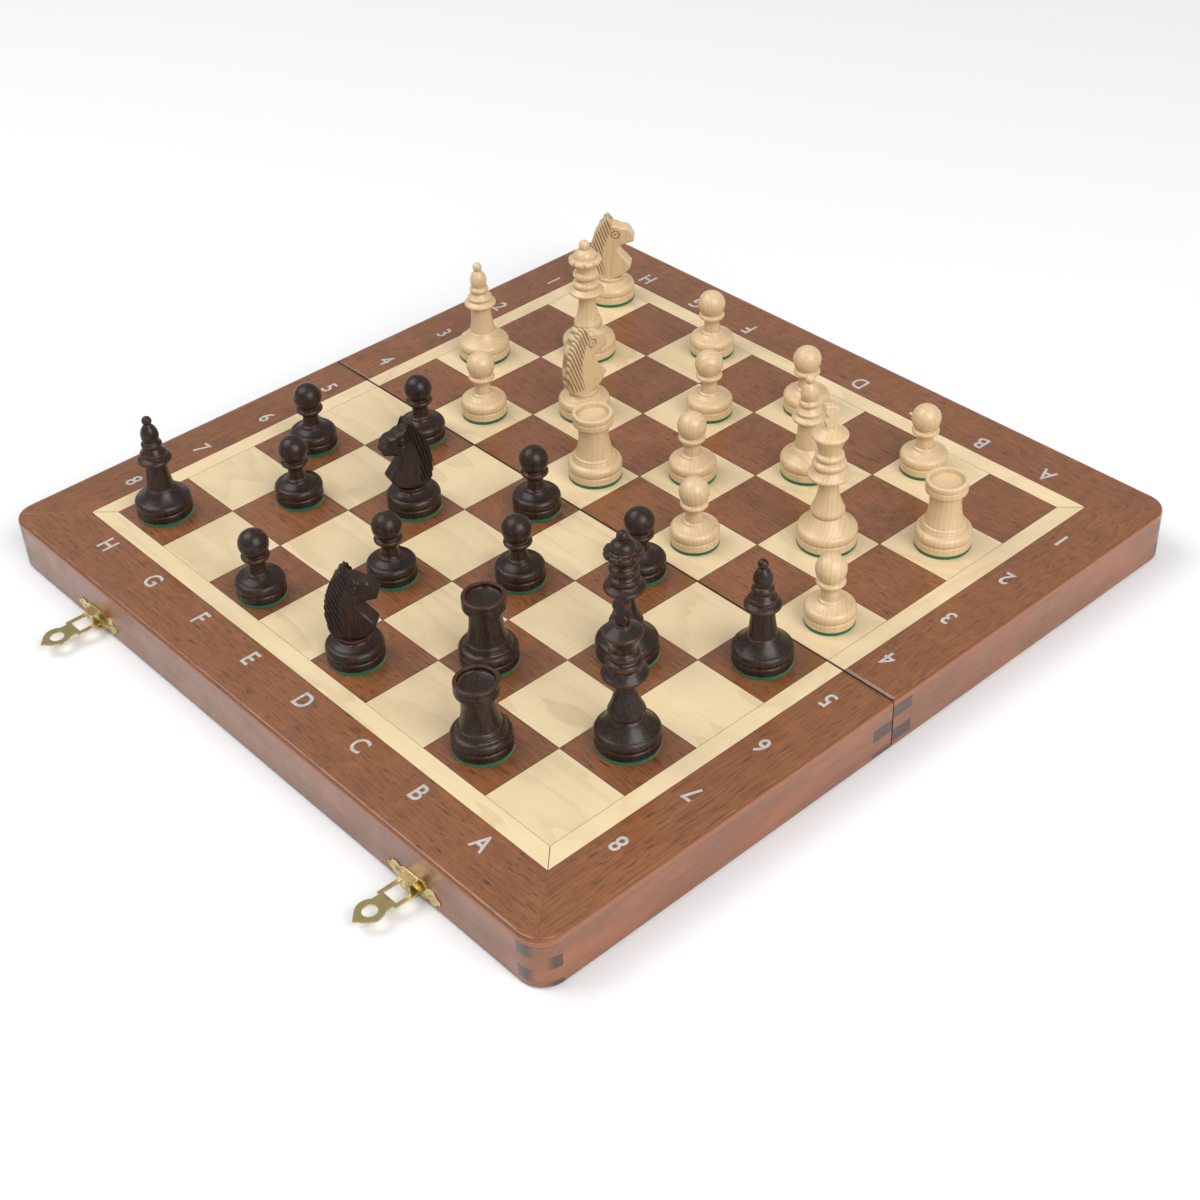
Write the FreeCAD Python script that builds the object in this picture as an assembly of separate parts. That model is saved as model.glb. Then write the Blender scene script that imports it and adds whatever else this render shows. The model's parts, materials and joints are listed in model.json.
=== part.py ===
import FreeCAD, Part

# Chess set on its folding board.
#
# The board is two open boxes hinged along the fold.  Opened out they lie side by side on their
# rims with the playing field on top; folded, they close into a case for the men.
#
# Frame: origin on the plane of the rims, in the middle of the fold.  +X runs towards file A,
# +Y towards rank 1 (the white half), +Z up.  Lengths are in millimetres, angles in degrees.

import math
import os

# ---------------------------------------------------------------- driving dimensions: the board
SQUARE = 50.0            # side of one square
SAW_KERF = 1.3           # taken off each row beside the fold when the board was sawn in two
FOLD_GAP = 0.8           # open line between the two halves
STRIP = 11.5             # light strip round the playing field
BORDER_SIDE = 35.5       # dark border along the files
BORDER_END = 37.3        # dark border along the end ranks
HALF_HEIGHT = 32.0       # rim plane to playing surface
PANEL = 4.0              # plywood panel with its veneer
VENEER = 0.6             # face veneer alone
RAIL_SIDE = 16.5         # thickness of the side rails
RAIL_END = 14.6          # thickness of the end and fold rails
FINGER = 8.25            # height of one finger of the corner joints
CORNER_R = 15.0          # rounding of the four outside corners
ARRIS_R = 2.0            # rounding of the panel's top edge

# ---------------------------------------------------------------- driving dimensions: the hinges
CLOSED_GAP = 0.3         # between the rims when the board is folded
HINGE_X = 150.0          # each side of the middle
HINGE_LONG = 40.0
LEAF_WIDE = 11.0
LEAF_THICK = 0.8
BARREL_R = 1.5
PIN_R = 0.7
PIN_CLEARANCE = 0.05     # pin in barrel, on the radius
BARREL_CLEARANCE = 0.35  # barrel in the relief cut along the two fold rails
KNUCKLE_GAP = 0.25       # between neighbouring knuckles
HINGE_SCREW_R = 1.0
HINGE_SCREW_HEAD_R = 1.8
HINGE_SCREW_LONG = 9.0
HINGE_SCREW_X = 12.00      # from the hinge's middle, along the fold
HINGE_SCREW_Y = 6.82      # from the leaf's edge at the fold

# ---------------------------------------------------------------- driving dimensions: the latches
LATCH_X = 151.0          # each side of the middle
SHEET = 0.6              # stamped brass
PLATE_LONG = 42.0
PLATE_LIFT = 0.3         # plate above the rim plane
PLATE_EDGE = 0.5         # plate above and below the loop
LOOP_RISE = 5.6          # loop above and below the hook's pivot bar, which it holds
LOOP_FRONT = 3.2         # loop out beyond the pivot
PIVOT_OUT = 3.2          # pivot out from the end face
PIVOT_BAR_R = 0.75
LEG_CLEARANCE = 0.6      # between the loop and each leg of the hook
HOOK_THICK = 1.0
HOOK_WIDE = 15.2         # across the legs
HOOK_WINDOW = 10.6       # between the legs
HOOK_LEG_LONG = 12.4     # pivot to the cross bar
HOOK_RING_OUT = 24.7     # pivot to the centre of the ring
HOOK_RING_R = 7.9
HOOK_HOLE_R = 4.25
HOOK_POINT = 2.9         # point beyond the ring
HOOK_BAR_WIDE = 2.2      # bar that closes the window, before the ring
HOOK_NECK_WIDE = 11.4
NAIL_R = 0.7
NAIL_HEAD_R = 1.4
NAIL_LONG = 8.0
NAIL_SHARE = 0.33        # of a plate's length, from its middle to a nail
CATCH_LONG = 30.0
CATCH_HIGH = 10.7
CATCH_STUD_CLEARANCE = 0.75   # stud in the hook's ring, on the radius

# ---------------------------------------------------------------- driving dimensions: the men
FELT = 1.8               # felt disc under each man
FELT_INSET = 0.1         # felt short of the wood
FOOT = 6.7               # board to the groove round each base
GROOVE = 0.7             # depth of that groove
BAND = 11.3              # board to the top of the band above the groove
BAND_INSET = 0.5         # that band short of the foot
PAWN = {"base_r": 14.5, "height": 44.8, "shoulder": 15.9, "step_r": 6.7, "neck_r": 5.4,
        "collar_r": 8.35, "ball_r": 8.9}
ROOK = {"base_r": 16.5, "height": 45.5, "shoulder": 14.2, "ring_r": 12.7, "foot_r": 11.3,
        "stem_r": 9.2, "crown_r": 12.3, "crown_high": 7.5, "bowl_r": 10.1, "wall_high": 2.8,
        "bowl_deep": 1.4}
BISHOP = {"base_r": 16.9, "height": 68.4, "shoulder": 20.4, "foot_r": 7.6, "neck_r": 6.6,
          "collar_r": 10.35, "head_r": 5.35, "ball_r": 3.0}
QUEEN = {"base_r": 17.4, "height": 82.9, "shoulder": 20.3, "bulb_r": 9.25, "neck_r": 5.7,
         "collar_r": 11.7, "crown_r": 10.9, "ball_r": 3.5, "notches": 9, "notch_r": 1.6}
KING = {"base_r": 17.6, "height": 94.5, "shoulder": 20.3, "bulb_r": 9.95, "neck_r": 5.75,
        "collar_r": 12.45, "crown_r": 10.4, "finial_wide": 8.8, "finial_thick": 5.6,
        "finial_high": 15.2}
KNIGHT = {"base_r": 16.25, "shoulder": 14.2, "neck_r": 8.8, "neck_high": 2.8,
          "head_long": 31.0, "head_high": 46.3, "head_thick": 11.0, "nose_thick": 8.4,
          "eye_r": 1.3, "mane_cuts": 6, "mane_cut_r": 0.6}

# Each man: colour, kind, square, place off the square's centre (towards A, towards rank 1),
# turn about its own axis.
MEN = [
    ("white", "rook", "A2", 0, 1, 0),
    ("white", "pawn", "A4", 2, 2, 0),
    ("white", "pawn", "B1", -8, 2, 0),
    ("white", "king", "B3", 1, 6, 62),
    ("white", "bishop", "C2", -6, 1, 0),
    ("white", "pawn", "C4", -3, 1, 0),
    ("white", "pawn", "D1", -5, 2, 0),
    ("white", "pawn", "D3", -3, -1, 0),
    ("white", "pawn", "E2", 4, 6, 0),
    ("white", "rook", "E4", 4, 7, 0),
    ("white", "pawn", "F1", 2, 10, 0),
    ("white", "knight", "F3", -4, 1, 85),
    ("white", "queen", "G2", -7, 3, 0),
    ("white", "pawn", "G4", 1, 4, 0),
    ("white", "knight", "H1", -1, 13, 42),
    ("white", "bishop", "H3", -6, 2, 0),
    ("black", "bishop", "A5", 0, 0, 0),
    ("black", "king", "A7", -3, 3, 20),
    ("black", "queen", "B6", -6, 2, 0),
    ("black", "rook", "B8", -4, -2, 0),
    ("black", "pawn", "C5", -4, 8, 0),
    ("black", "rook", "C7", -5, -5, 0),
    ("black", "pawn", "D6", 2, 4, 0),
    ("black", "knight", "D8", -9, -5, 40),
    ("black", "pawn", "E5", 6, 7, 0),
    ("black", "pawn", "E7", -3, 4, 0),
    ("black", "knight", "F6", 1, 6, 258),
    ("black", "pawn", "F8", 6, -9, 0),
    ("black", "pawn", "G5", -6, 8, 0),
    ("black", "pawn", "G7", -6, 12, 0),
    ("black", "pawn", "H6", 2, 3, 0),
    ("black", "bishop", "H8", -4, -4, 0),
]

# ---------------------------------------------------------------- worked out from those
FILES = "ABCDEFGH"
RANKS = 8
FIELD_X = SQUARE * len(FILES) / 2                     # half the playing field along X
FIELD_Y = SQUARE * RANKS / 2 - SAW_KERF               # fold to the far edge of the field
OUT_X = FIELD_X + STRIP + BORDER_SIDE                 # middle to the side face
OUT_Y = FIELD_Y + STRIP + BORDER_END                  # fold to the end face
FOLD_Y = FOLD_GAP / 2                                 # fold to the face of a half
RAIL_HIGH = HALF_HEIGHT - PANEL
AXIS_Z = -CLOSED_GAP / 2                              # the fold's axis, just below the rims
PLATE_HIGH = 2 * (LOOP_RISE + PLATE_EDGE)
PIVOT_LIFT = PLATE_LIFT + PLATE_HIGH / 2              # hook pivot above the rim plane
LOOP_WIDE = HOOK_WINDOW - 2 * LEG_CLEARANCE
LOOP_DEEP = PIVOT_OUT + LOOP_FRONT                    # loop out from the end face
HOOK_TIP_OUT = HOOK_RING_OUT + HOOK_RING_R + HOOK_POINT
MARGIN = 1.0                                          # how far a cutting tool overshoots

UP = FreeCAD.Vector(0, 0, 1)
ALONG_X = FreeCAD.Vector(1, 0, 0)
ORIGIN = FreeCAD.Vector(0, 0, 0)


# ---------------------------------------------------------------- small makers
def point(x, y, z=0.0):
    return FreeCAD.Vector(x, y, z)


def block(x0, x1, y0, y1, z0, z1):
    return Part.makeBox(x1 - x0, y1 - y0, z1 - z0, point(x0, y0, z0))


def rod(radius, start, end):
    """A round bar between two points."""
    run = end.sub(start)
    return Part.makeCylinder(radius, run.Length, start, run)


def prism(corners, z0, z1):
    """An upright prism on a closed outline of (x, y) corners."""
    ring = [point(x, y, z0) for x, y in corners]
    return Part.Face(Part.makePolygon(ring + ring[:1])).extrude(point(0, 0, z1 - z0))


def turned(start, steps):
    """A solid turned about Z.

    start is (r, z); each step is an end point (r, z), reached by a straight line, or a pair of
    points, the middle and the end of an arc.
    """
    edges = []
    here = point(start[0], 0, start[1])
    for step in steps:
        if isinstance(step[0], tuple):
            middle = point(step[0][0], 0, step[0][1])
            there = point(step[1][0], 0, step[1][1])
            edges.append(Part.Arc(here, middle, there).toShape())
        else:
            there = point(step[0], 0, step[1])
            edges.append(Part.makeLine(here, there))
        here = there
    edges.append(Part.makeLine(here, point(start[0], 0, start[1])))
    face = Part.Face(Part.Wire(edges))
    solid = face.revolve(ORIGIN, UP, 360)
    return Part.makeSolid(solid) if solid.ShapeType == "Shell" else solid


def cap(radius, z, rise):
    """A step of a profile: the arc from (radius, z) to the axis, ending rise above z."""
    ball = (radius ** 2 + rise ** 2) / (2 * abs(rise))
    half = math.asin(radius / ball) / 2
    centre = z + rise - math.copysign(ball, rise)
    middle = (ball * math.sin(half), centre + math.copysign(ball * math.cos(half), rise))
    return middle, (0, z + rise)


def moved(shape, x=0.0, y=0.0, z=0.0, turn=0.0, axis=UP):
    """The shape turned about an axis through the origin, then shifted."""
    copy = shape.copy()
    copy.rotate(ORIGIN, axis, turn)
    copy.translate(point(x, y, z))
    return copy


def half_turned(shapes):
    """Shapes of the white half carried round to the black half, half a turn about Z."""
    return [moved(shape, turn=180) for shape in shapes]


def side_pair(x):
    """The two places at equal distances either side of the middle."""
    return [-x, x]


def screw(radius, head_r, long):
    """A countersunk wood screw standing on its head's face at z = 0, shank upwards."""
    step = head_r - radius
    return turned((0, 0), [(head_r, 0), (radius, step), (radius, long - 2 * radius), (0, long)])


def nail(radius, head_r, long):
    """A round-headed nail, its head's flat side at z = 0, shank downwards."""
    return turned((0, -long), [(radius, radius - long), (radius, 0), (head_r, 0),
                               cap(head_r, 0, head_r * 0.5)])


def save(name, solids):
    """One STEP file for one node, holding its separate solids."""
    parts = [solid for shape in solids for solid in shape.Solids]
    shape = parts[0] if len(parts) == 1 else Part.makeCompound(parts)
    for solid in parts:
        if not solid.isValid():
            raise ValueError(name + " holds a broken solid")
    shape.exportStep(os.path.join("parts", name + ".step"))


# ---------------------------------------------------------------- the board's two halves
def outline(z0, z1):
    """The white half's plan between two heights: square at the fold, rounded outside corners."""
    body = block(-OUT_X, OUT_X, FOLD_Y, OUT_Y, z0, z1)
    corners = [edge for edge in body.Edges
               if abs(edge.Vertexes[0].Y - OUT_Y) < 1e-6
               and abs(edge.Vertexes[1].Y - OUT_Y) < 1e-6
               and abs(edge.Vertexes[0].Z - edge.Vertexes[1].Z) > 1e-6]
    return body.makeFillet(CORNER_R, corners)


def finger_levels(side_first):
    """Heights of the joint's fingers from the panel down, each with the rail that fills it."""
    levels = []
    top = RAIL_HIGH
    on_side = side_first
    while top > 1e-6:
        bottom = max(0.0, top - FINGER)
        levels.append((bottom, top, "side" if on_side else "end"))
        on_side = not on_side
        top = bottom
    return levels


def rails(side_first):
    """The four rails of one half, finger jointed at their corners."""
    plan = outline(0, RAIL_HIGH)
    inner_x = OUT_X - RAIL_SIDE
    inner_fold = FOLD_Y + RAIL_END
    inner_end = OUT_Y - RAIL_END
    made = {
        "end": block(-OUT_X, OUT_X, inner_end, OUT_Y, 0, RAIL_HIGH),
        "fold": block(-OUT_X, OUT_X, FOLD_Y, inner_fold, 0, RAIL_HIGH),
        "left": block(-OUT_X, -inner_x, FOLD_Y, OUT_Y, 0, RAIL_HIGH),
        "right": block(inner_x, OUT_X, FOLD_Y, OUT_Y, 0, RAIL_HIGH),
    }
    for bottom, top, owner in finger_levels(side_first):
        cut_x = [(-OUT_X - MARGIN, -inner_x), (inner_x, OUT_X + MARGIN)]
        cut_y = [(FOLD_Y - MARGIN, inner_fold), (inner_end, OUT_Y + MARGIN)]
        tools = [block(x0, x1, y0, y1, bottom, top) for x0, x1 in cut_x for y0, y1 in cut_y]
        losers = ("end", "fold") if owner == "side" else ("left", "right")
        for name in losers:
            made[name] = made[name].cut(tools)
    return {name: rail.common(plan) for name, rail in made.items()}


def slab():
    """Panel and veneer as one, with the top edge rounded on the three outer sides."""
    body = outline(RAIL_HIGH, HALF_HEIGHT)
    rim = [edge for edge in body.Edges
           if abs(edge.CenterOfMass.z - HALF_HEIGHT) < 1e-6
           and abs(edge.CenterOfMass.y - FOLD_Y) > 1e-6]
    return body.makeFillet(ARRIS_R, rim)


def squares(dark):
    """The veneer squares of one colour on the white half.  The corner square A1 is dark."""
    found = []
    for column in range(len(FILES)):
        x0 = FIELD_X - SQUARE * (column + 1)
        for row in range(RANKS // 2):
            if ((column + RANKS // 2 - 1 - row) % 2 == 0) != dark:
                continue
            y0 = max(FOLD_Y, row * SQUARE - SAW_KERF)
            y1 = (row + 1) * SQUARE - SAW_KERF
            found.append(block(x0, x0 + SQUARE, y0, y1, HALF_HEIGHT - VENEER, HALF_HEIGHT))
    return found


def frame_strips(in_x, in_y, out_x, out_y):
    """Three mitred veneer strips round the white half, between two rectangles."""
    z0 = HALF_HEIGHT - VENEER
    left = [(-out_x, FOLD_Y), (-in_x, FOLD_Y), (-in_x, in_y), (-out_x, out_y)]
    right = [(-x, y) for x, y in left]
    end = [(-in_x, in_y), (in_x, in_y), (out_x, out_y), (-out_x, out_y)]
    return [prism(corners, z0, HALF_HEIGHT) for corners in (left, right, end)]


def hinge_screw_places():
    """Screw centres of one leaf, from the hinge's middle along X and from the fold along Y."""
    return [(x, FOLD_Y + HINGE_SCREW_Y) for x in side_pair(HINGE_SCREW_X)]


def hinge_screws():
    """All the screws of the white half's two leaves, heads flush with the leaf's face."""
    one = screw(HINGE_SCREW_R, HINGE_SCREW_HEAD_R, HINGE_SCREW_LONG)
    return [moved(one, middle + x, y) for middle in side_pair(HINGE_X)
            for x, y in hinge_screw_places()]


def knuckle_spans(white):
    """Start and length along X of the knuckles that one leaf has: the middle one or the outer."""
    third = (HINGE_LONG - 2 * KNUCKLE_GAP) / 3
    starts = [-HINGE_LONG / 2 + i * (third + KNUCKLE_GAP) for i in range(3)]
    picked = starts[1:2] if white else starts[0::2]
    return [(start, third) for start in picked]


def hinge_leaf(white):
    """One leaf on the +Y side of its own fold, let into the rim, with its knuckles."""
    clear_y = BARREL_R + BARREL_CLEARANCE
    leaf = block(-HINGE_LONG / 2, HINGE_LONG / 2, clear_y, FOLD_Y + LEAF_WIDE, 0, LEAF_THICK)
    bored = []
    for start, long in knuckle_spans(white):
        leaf = leaf.fuse(block(start, start + long, 0, clear_y, 0, LEAF_THICK))
        barrel = rod(BARREL_R, point(start, 0, AXIS_Z), point(start + long, 0, AXIS_Z))
        leaf = leaf.fuse(barrel)
        bored.append(rod(PIN_R + PIN_CLEARANCE, point(start - MARGIN, 0, AXIS_Z),
                         point(start + long + MARGIN, 0, AXIS_Z)))
    leaf = leaf.removeSplitter().cut(bored)
    sink = screw(HINGE_SCREW_R, HINGE_SCREW_HEAD_R, HINGE_SCREW_LONG)
    return leaf.cut([moved(sink, x, y) for x, y in hinge_screw_places()])


def leaf_pockets():
    """Cutting tools for the white half's fold rail: leaf pockets, barrel relief, screw holes."""
    tools = list(hinge_screws())
    relief_r = BARREL_R + BARREL_CLEARANCE
    for middle in side_pair(HINGE_X):
        x0 = middle - HINGE_LONG / 2 - KNUCKLE_GAP
        x1 = middle + HINGE_LONG / 2 + KNUCKLE_GAP
        tools.append(block(x0, x1, FOLD_Y - MARGIN, FOLD_Y + LEAF_WIDE, -MARGIN, LEAF_THICK))
        tools.append(rod(relief_r, point(x0, 0, AXIS_Z), point(x1, 0, AXIS_Z)))
    return tools


# ---------------------------------------------------------------- the latches
def scalloped(long, high):
    """Corners of a plate's outline in X and Z, with a three-lobed tail at each end."""
    half, tall = long / 2, high / 2
    quarter = [
        (half * 0.36, tall), (half * 0.50, tall * 0.62), (half * 0.64, tall * 0.92),
        (half * 0.80, tall * 0.80), (half * 0.86, tall * 0.42), (half, tall * 0.22),
    ]
    upper = quarter + [(x, -z) for x, z in reversed(quarter)]
    return upper + [(-x, -z) for x, z in upper]


def plate(long, high, nail_x):
    """A stamped plate standing on the plane y = 0, face towards -Y, with its two nail holes."""
    ring = [point(x, 0, z) for x, z in scalloped(long, high)]
    sheet = Part.Face(Part.makePolygon(ring + ring[:1])).extrude(point(0, -SHEET, 0))
    holes = [rod(NAIL_R, point(x, MARGIN, 0), point(x, -SHEET - MARGIN, 0))
             for x in side_pair(nail_x)]
    return sheet.cut(holes)


def latch_loop():
    """The loop round the hook's pivot bar: boxed above, curved like a lip below.

    Drawn about the pivot's height, in the plane of Y and Z, and given its width along X.
    """
    top, deep, low = LOOP_RISE, LOOP_DEEP, -LOOP_RISE

    def section(inset):
        a, d, b = top - inset, deep - inset, low + inset
        back = -SHEET if inset else 0.0
        mid = (-(d * math.cos(math.pi / 4)), b * math.sin(math.pi / 4))
        edges = [
            Part.makeLine(point(0, back, a), point(0, -d, a)),
            Part.makeLine(point(0, -d, a), point(0, -d, 0)),
            Part.Arc(point(0, -d, 0), point(0, mid[0], mid[1]), point(0, back, b)).toShape(),
            Part.makeLine(point(0, back, b), point(0, back, a)),
        ]
        return Part.Face(Part.Wire(edges))

    solid = section(0).extrude(point(LOOP_WIDE, 0, 0))
    hollow = section(SHEET).extrude(point(LOOP_WIDE + 2 * MARGIN, 0, 0))
    return moved(solid.cut(moved(hollow, -MARGIN)), -LOOP_WIDE / 2)


def latch_nail_x():
    return PLATE_LONG * NAIL_SHARE


def latch_plate():
    """Plate and loop in one, on the plane y = 0, at their own height above the rim plane."""
    sheet = plate(PLATE_LONG, PLATE_HIGH, latch_nail_x())
    return moved(sheet.fuse(latch_loop()).removeSplitter(), z=PIVOT_LIFT)


def latch_hook():
    """The hook about its pivot, pointing along -Y: legs, cross bar, ring and point."""
    leg = (HOOK_WIDE - HOOK_WINDOW) / 2
    half = HOOK_THICK / 2
    shoulder = HOOK_LEG_LONG + HOOK_BAR_WIDE
    body = block(-HOOK_WIDE / 2, HOOK_WIDE / 2, -shoulder, PIVOT_BAR_R, -half, half)
    window = block(-HOOK_WINDOW / 2, HOOK_WINDOW / 2, -HOOK_LEG_LONG, 2 * PIVOT_BAR_R,
                   -HOOK_THICK, HOOK_THICK)
    neck = block(-HOOK_NECK_WIDE / 2, HOOK_NECK_WIDE / 2, -HOOK_RING_OUT, -shoulder, -half, half)
    ring = rod(HOOK_RING_R, point(0, -HOOK_RING_OUT, -half), point(0, -HOOK_RING_OUT, half))
    angle = math.acos(HOOK_RING_R / (HOOK_TIP_OUT - HOOK_RING_OUT))
    side = HOOK_RING_R * math.sin(angle)
    touch = HOOK_RING_OUT + HOOK_RING_R * math.cos(angle)
    tip = prism([(-side, -touch), (0, -HOOK_RING_OUT), (side, -touch), (0, -HOOK_TIP_OUT)],
                -half, half)
    hole = rod(HOOK_HOLE_R, point(0, -HOOK_RING_OUT, -1), point(0, -HOOK_RING_OUT, 1))
    bar = rod(PIVOT_BAR_R, point(-HOOK_WINDOW / 2 - leg / 2, 0, 0),
              point(HOOK_WINDOW / 2 + leg / 2, 0, 0))
    flat = body.cut(window).fuse([neck, ring, tip]).cut(hole)
    return flat.fuse(bar).removeSplitter()


def nails(nail_x, height):
    """The two nails of one plate on the end face y = 0, heads outside."""
    one = moved(nail(NAIL_R, NAIL_HEAD_R, NAIL_LONG), turn=90, axis=ALONG_X)
    return [moved(one, x, -SHEET, height) for x in side_pair(nail_x)]


def catch_height():
    """Where the hook's ring comes on the other half once the board is folded."""
    return HOOK_RING_OUT - PIVOT_LIFT - CLOSED_GAP


def catch_plate():
    """Plate with its round stud, on the plane y = 0, facing -Y, at its height above the rims."""
    stud_r = HOOK_HOLE_R - CATCH_STUD_CLEARANCE
    reach = PIVOT_OUT + HOOK_THICK
    shoulder = reach - stud_r * 0.5
    stud = turned((0, 0), [(stud_r, 0), (stud_r, shoulder),
                           cap(stud_r, shoulder, reach - shoulder)])
    stud = moved(stud, turn=90, axis=ALONG_X)
    sheet = plate(CATCH_LONG, CATCH_HIGH, catch_nail_x())
    return moved(sheet.fuse(stud).removeSplitter(), z=catch_height())


def catch_nail_x():
    return CATCH_LONG * NAIL_SHARE


# ---------------------------------------------------------------- the men
def base_steps(base_r, shoulder, stem_r):
    """The foot every man stands on: upright ring, groove, band, and a dome up to the stem."""
    band_r = base_r - BAND_INSET
    bend = math.pi / 4
    middle = (stem_r + (band_r - stem_r) * math.cos(bend),
              BAND + (shoulder - BAND) * math.sin(bend))
    return [
        (base_r - 0.4, FELT), (base_r, FELT + 0.4), (base_r, FOOT), (base_r - GROOVE, FOOT + 0.5),
        (band_r + 0.2, FOOT + 1.1), (band_r, BAND), (middle, (stem_r, shoulder)),
    ]


def bead(r_in_low, z_low, r_out, z_mid, r_in_high, z_high):
    """A rounded ring: an arc from its lower root over its widest line to its upper root."""
    return [(r_in_low, z_low), ((r_out, z_mid), (r_in_high, z_high))]


def ball_steps(ball_r, top, neck_share):
    """A ball at the very top: the end of its neck, then the arc over it to the axis."""
    centre = top - ball_r
    neck = (neck_share * ball_r, centre - ball_r * math.sqrt(1 - neck_share ** 2))
    return neck, [((ball_r, centre), (0, top))]


def felt_disc(base_r):
    return turned((0, 0), [(base_r - FELT_INSET, 0), (base_r - FELT_INSET, FELT), (0, FELT)])


def pawn(size):
    """Base, a step at the neck's foot, a collar like a cup, and a ball."""
    seat, ball = ball_steps(size["ball_r"], size["height"], 0.84)
    neck_r = size["neck_r"]
    steps = base_steps(size["base_r"], size["shoulder"], size["step_r"] + 0.5)
    steps += [(size["step_r"], size["shoulder"] + 0.5), (neck_r + 0.2, size["shoulder"] + 1.7)]
    steps += bead(neck_r, seat[1] - 9.2, size["collar_r"], seat[1] - 3.5, *seat)
    return [turned((0, FELT), steps + ball)]


def rook(size):
    """Base with a ring, waisted tower, and a low crown whose bowl has an upright wall."""
    top = size["height"]
    crown_z = top - size["crown_high"]
    ring_z = size["shoulder"]
    crown_r, floor_r = size["crown_r"], size["bowl_r"] - 0.4
    floor_z = top - size["wall_high"]
    steps = base_steps(size["base_r"], ring_z, size["ring_r"] + 0.4)
    steps += [(size["ring_r"], ring_z + 0.4), (size["ring_r"] - 0.2, ring_z + 1.6),
              (size["foot_r"] + 0.1, ring_z + 2.5), (size["foot_r"], ring_z + 3.0),
              ((size["stem_r"] + 0.65, ring_z + 9.6), (size["stem_r"], crown_z - 7.0)),
              (size["stem_r"] + 0.3, crown_z - 1.2), (crown_r - 0.4, crown_z - 0.3),
              (crown_r, crown_z + 0.2), (crown_r, crown_z + 3.5), (crown_r - 0.5, crown_z + 3.9),
              (crown_r, crown_z + 4.3), (crown_r, top - 0.5), (crown_r - 0.5, top),
              (size["bowl_r"], top), (floor_r, floor_z),
              cap(floor_r, floor_z, -size["bowl_deep"])]
    return [turned((0, FELT), steps)]


def bishop(size):
    """Base, slender neck, sharp collar, a cone and a ring over it, an egg with a small ball."""
    top = size["height"]
    seat, ball = ball_steps(size["ball_r"], top, 0.62)
    neck_r, collar_r = size["neck_r"], size["collar_r"]
    collar_z = top - 29.2
    steps = base_steps(size["base_r"], size["shoulder"], size["foot_r"] + 0.5)
    steps += [(size["foot_r"], size["shoulder"] + 0.4),
              ((neck_r + 0.25, size["shoulder"] + 7.6), (neck_r, collar_z - 3.6))]
    steps += bead(neck_r + 0.3, collar_z - 3.2, collar_r, collar_z, collar_r - 1.75, collar_z + 2.0)
    steps += [(neck_r + 0.4, collar_z + 3.5), (neck_r + 0.8, collar_z + 4.0),
              (neck_r + 0.7, collar_z + 5.0), (neck_r - 1.1, collar_z + 8.0),
              (neck_r - 1.6, collar_z + 8.5)]
    steps += bead(neck_r - 1.3, collar_z + 8.9, neck_r - 0.5, collar_z + 10.7,
                  neck_r - 1.5, collar_z + 12.9)
    steps += [(neck_r - 1.75, collar_z + 13.3), ((size["head_r"], top - 12.2), seat)]
    return [turned((0, FELT), steps + ball)]


def queen(size):
    """Base, bulb, neck, collar, two rings and a notched coronet under a ball."""
    top = size["height"]
    seat, ball = ball_steps(size["ball_r"], top, 0.72)
    bulb_r, neck_r, collar_r = size["bulb_r"], size["neck_r"], size["collar_r"]
    crown_r = size["crown_r"]
    bulb_z, collar_z, crown_z = size["shoulder"] + 3.7, top - 36.3, top - 14.0
    steps = base_steps(size["base_r"], size["shoulder"], bulb_r - 0.2)
    steps += bead(bulb_r - 1.0, size["shoulder"] + 0.5, bulb_r, bulb_z, neck_r + 1.7, bulb_z + 6.1)
    steps += [(neck_r, collar_z - 9.6)]
    steps += bead(neck_r + 0.3, collar_z - 5.6, collar_r, collar_z, collar_r - 3.3, collar_z + 3.0)
    steps += [(neck_r + 2.2, collar_z + 3.3)]
    steps += bead(neck_r + 2.3, collar_z + 3.7, neck_r + 3.05, collar_z + 5.2,
                  neck_r + 1.7, collar_z + 7.6)
    steps += [(neck_r + 1.3, collar_z + 8.2)]
    steps += bead(neck_r + 1.4, collar_z + 10.0, neck_r + 2.65, collar_z + 12.1,
                  neck_r + 1.2, collar_z + 14.6)
    steps += [(neck_r + 0.9, crown_z - 6.9), (neck_r + 1.1, crown_z - 3.9),
              (crown_r - 1.1, crown_z - 1.9), ((crown_r, crown_z), (crown_r - 1.0, crown_z + 2.0)),
              (crown_r - 3.3, crown_z + 2.4), ((crown_r - 4.7, crown_z + 6.0), seat)]
    body = turned((0, FELT), steps + ball)
    cuts = []
    for i in range(size["notches"]):
        angle = 2 * math.pi * i / size["notches"]
        x = (crown_r + 0.3) * math.cos(angle)
        y = (crown_r + 0.3) * math.sin(angle)
        cuts.append(rod(size["notch_r"], point(x, y, crown_z - 4.0), point(x, y, crown_z + 4.5)))
    return [body.cut(cuts)]


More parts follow.
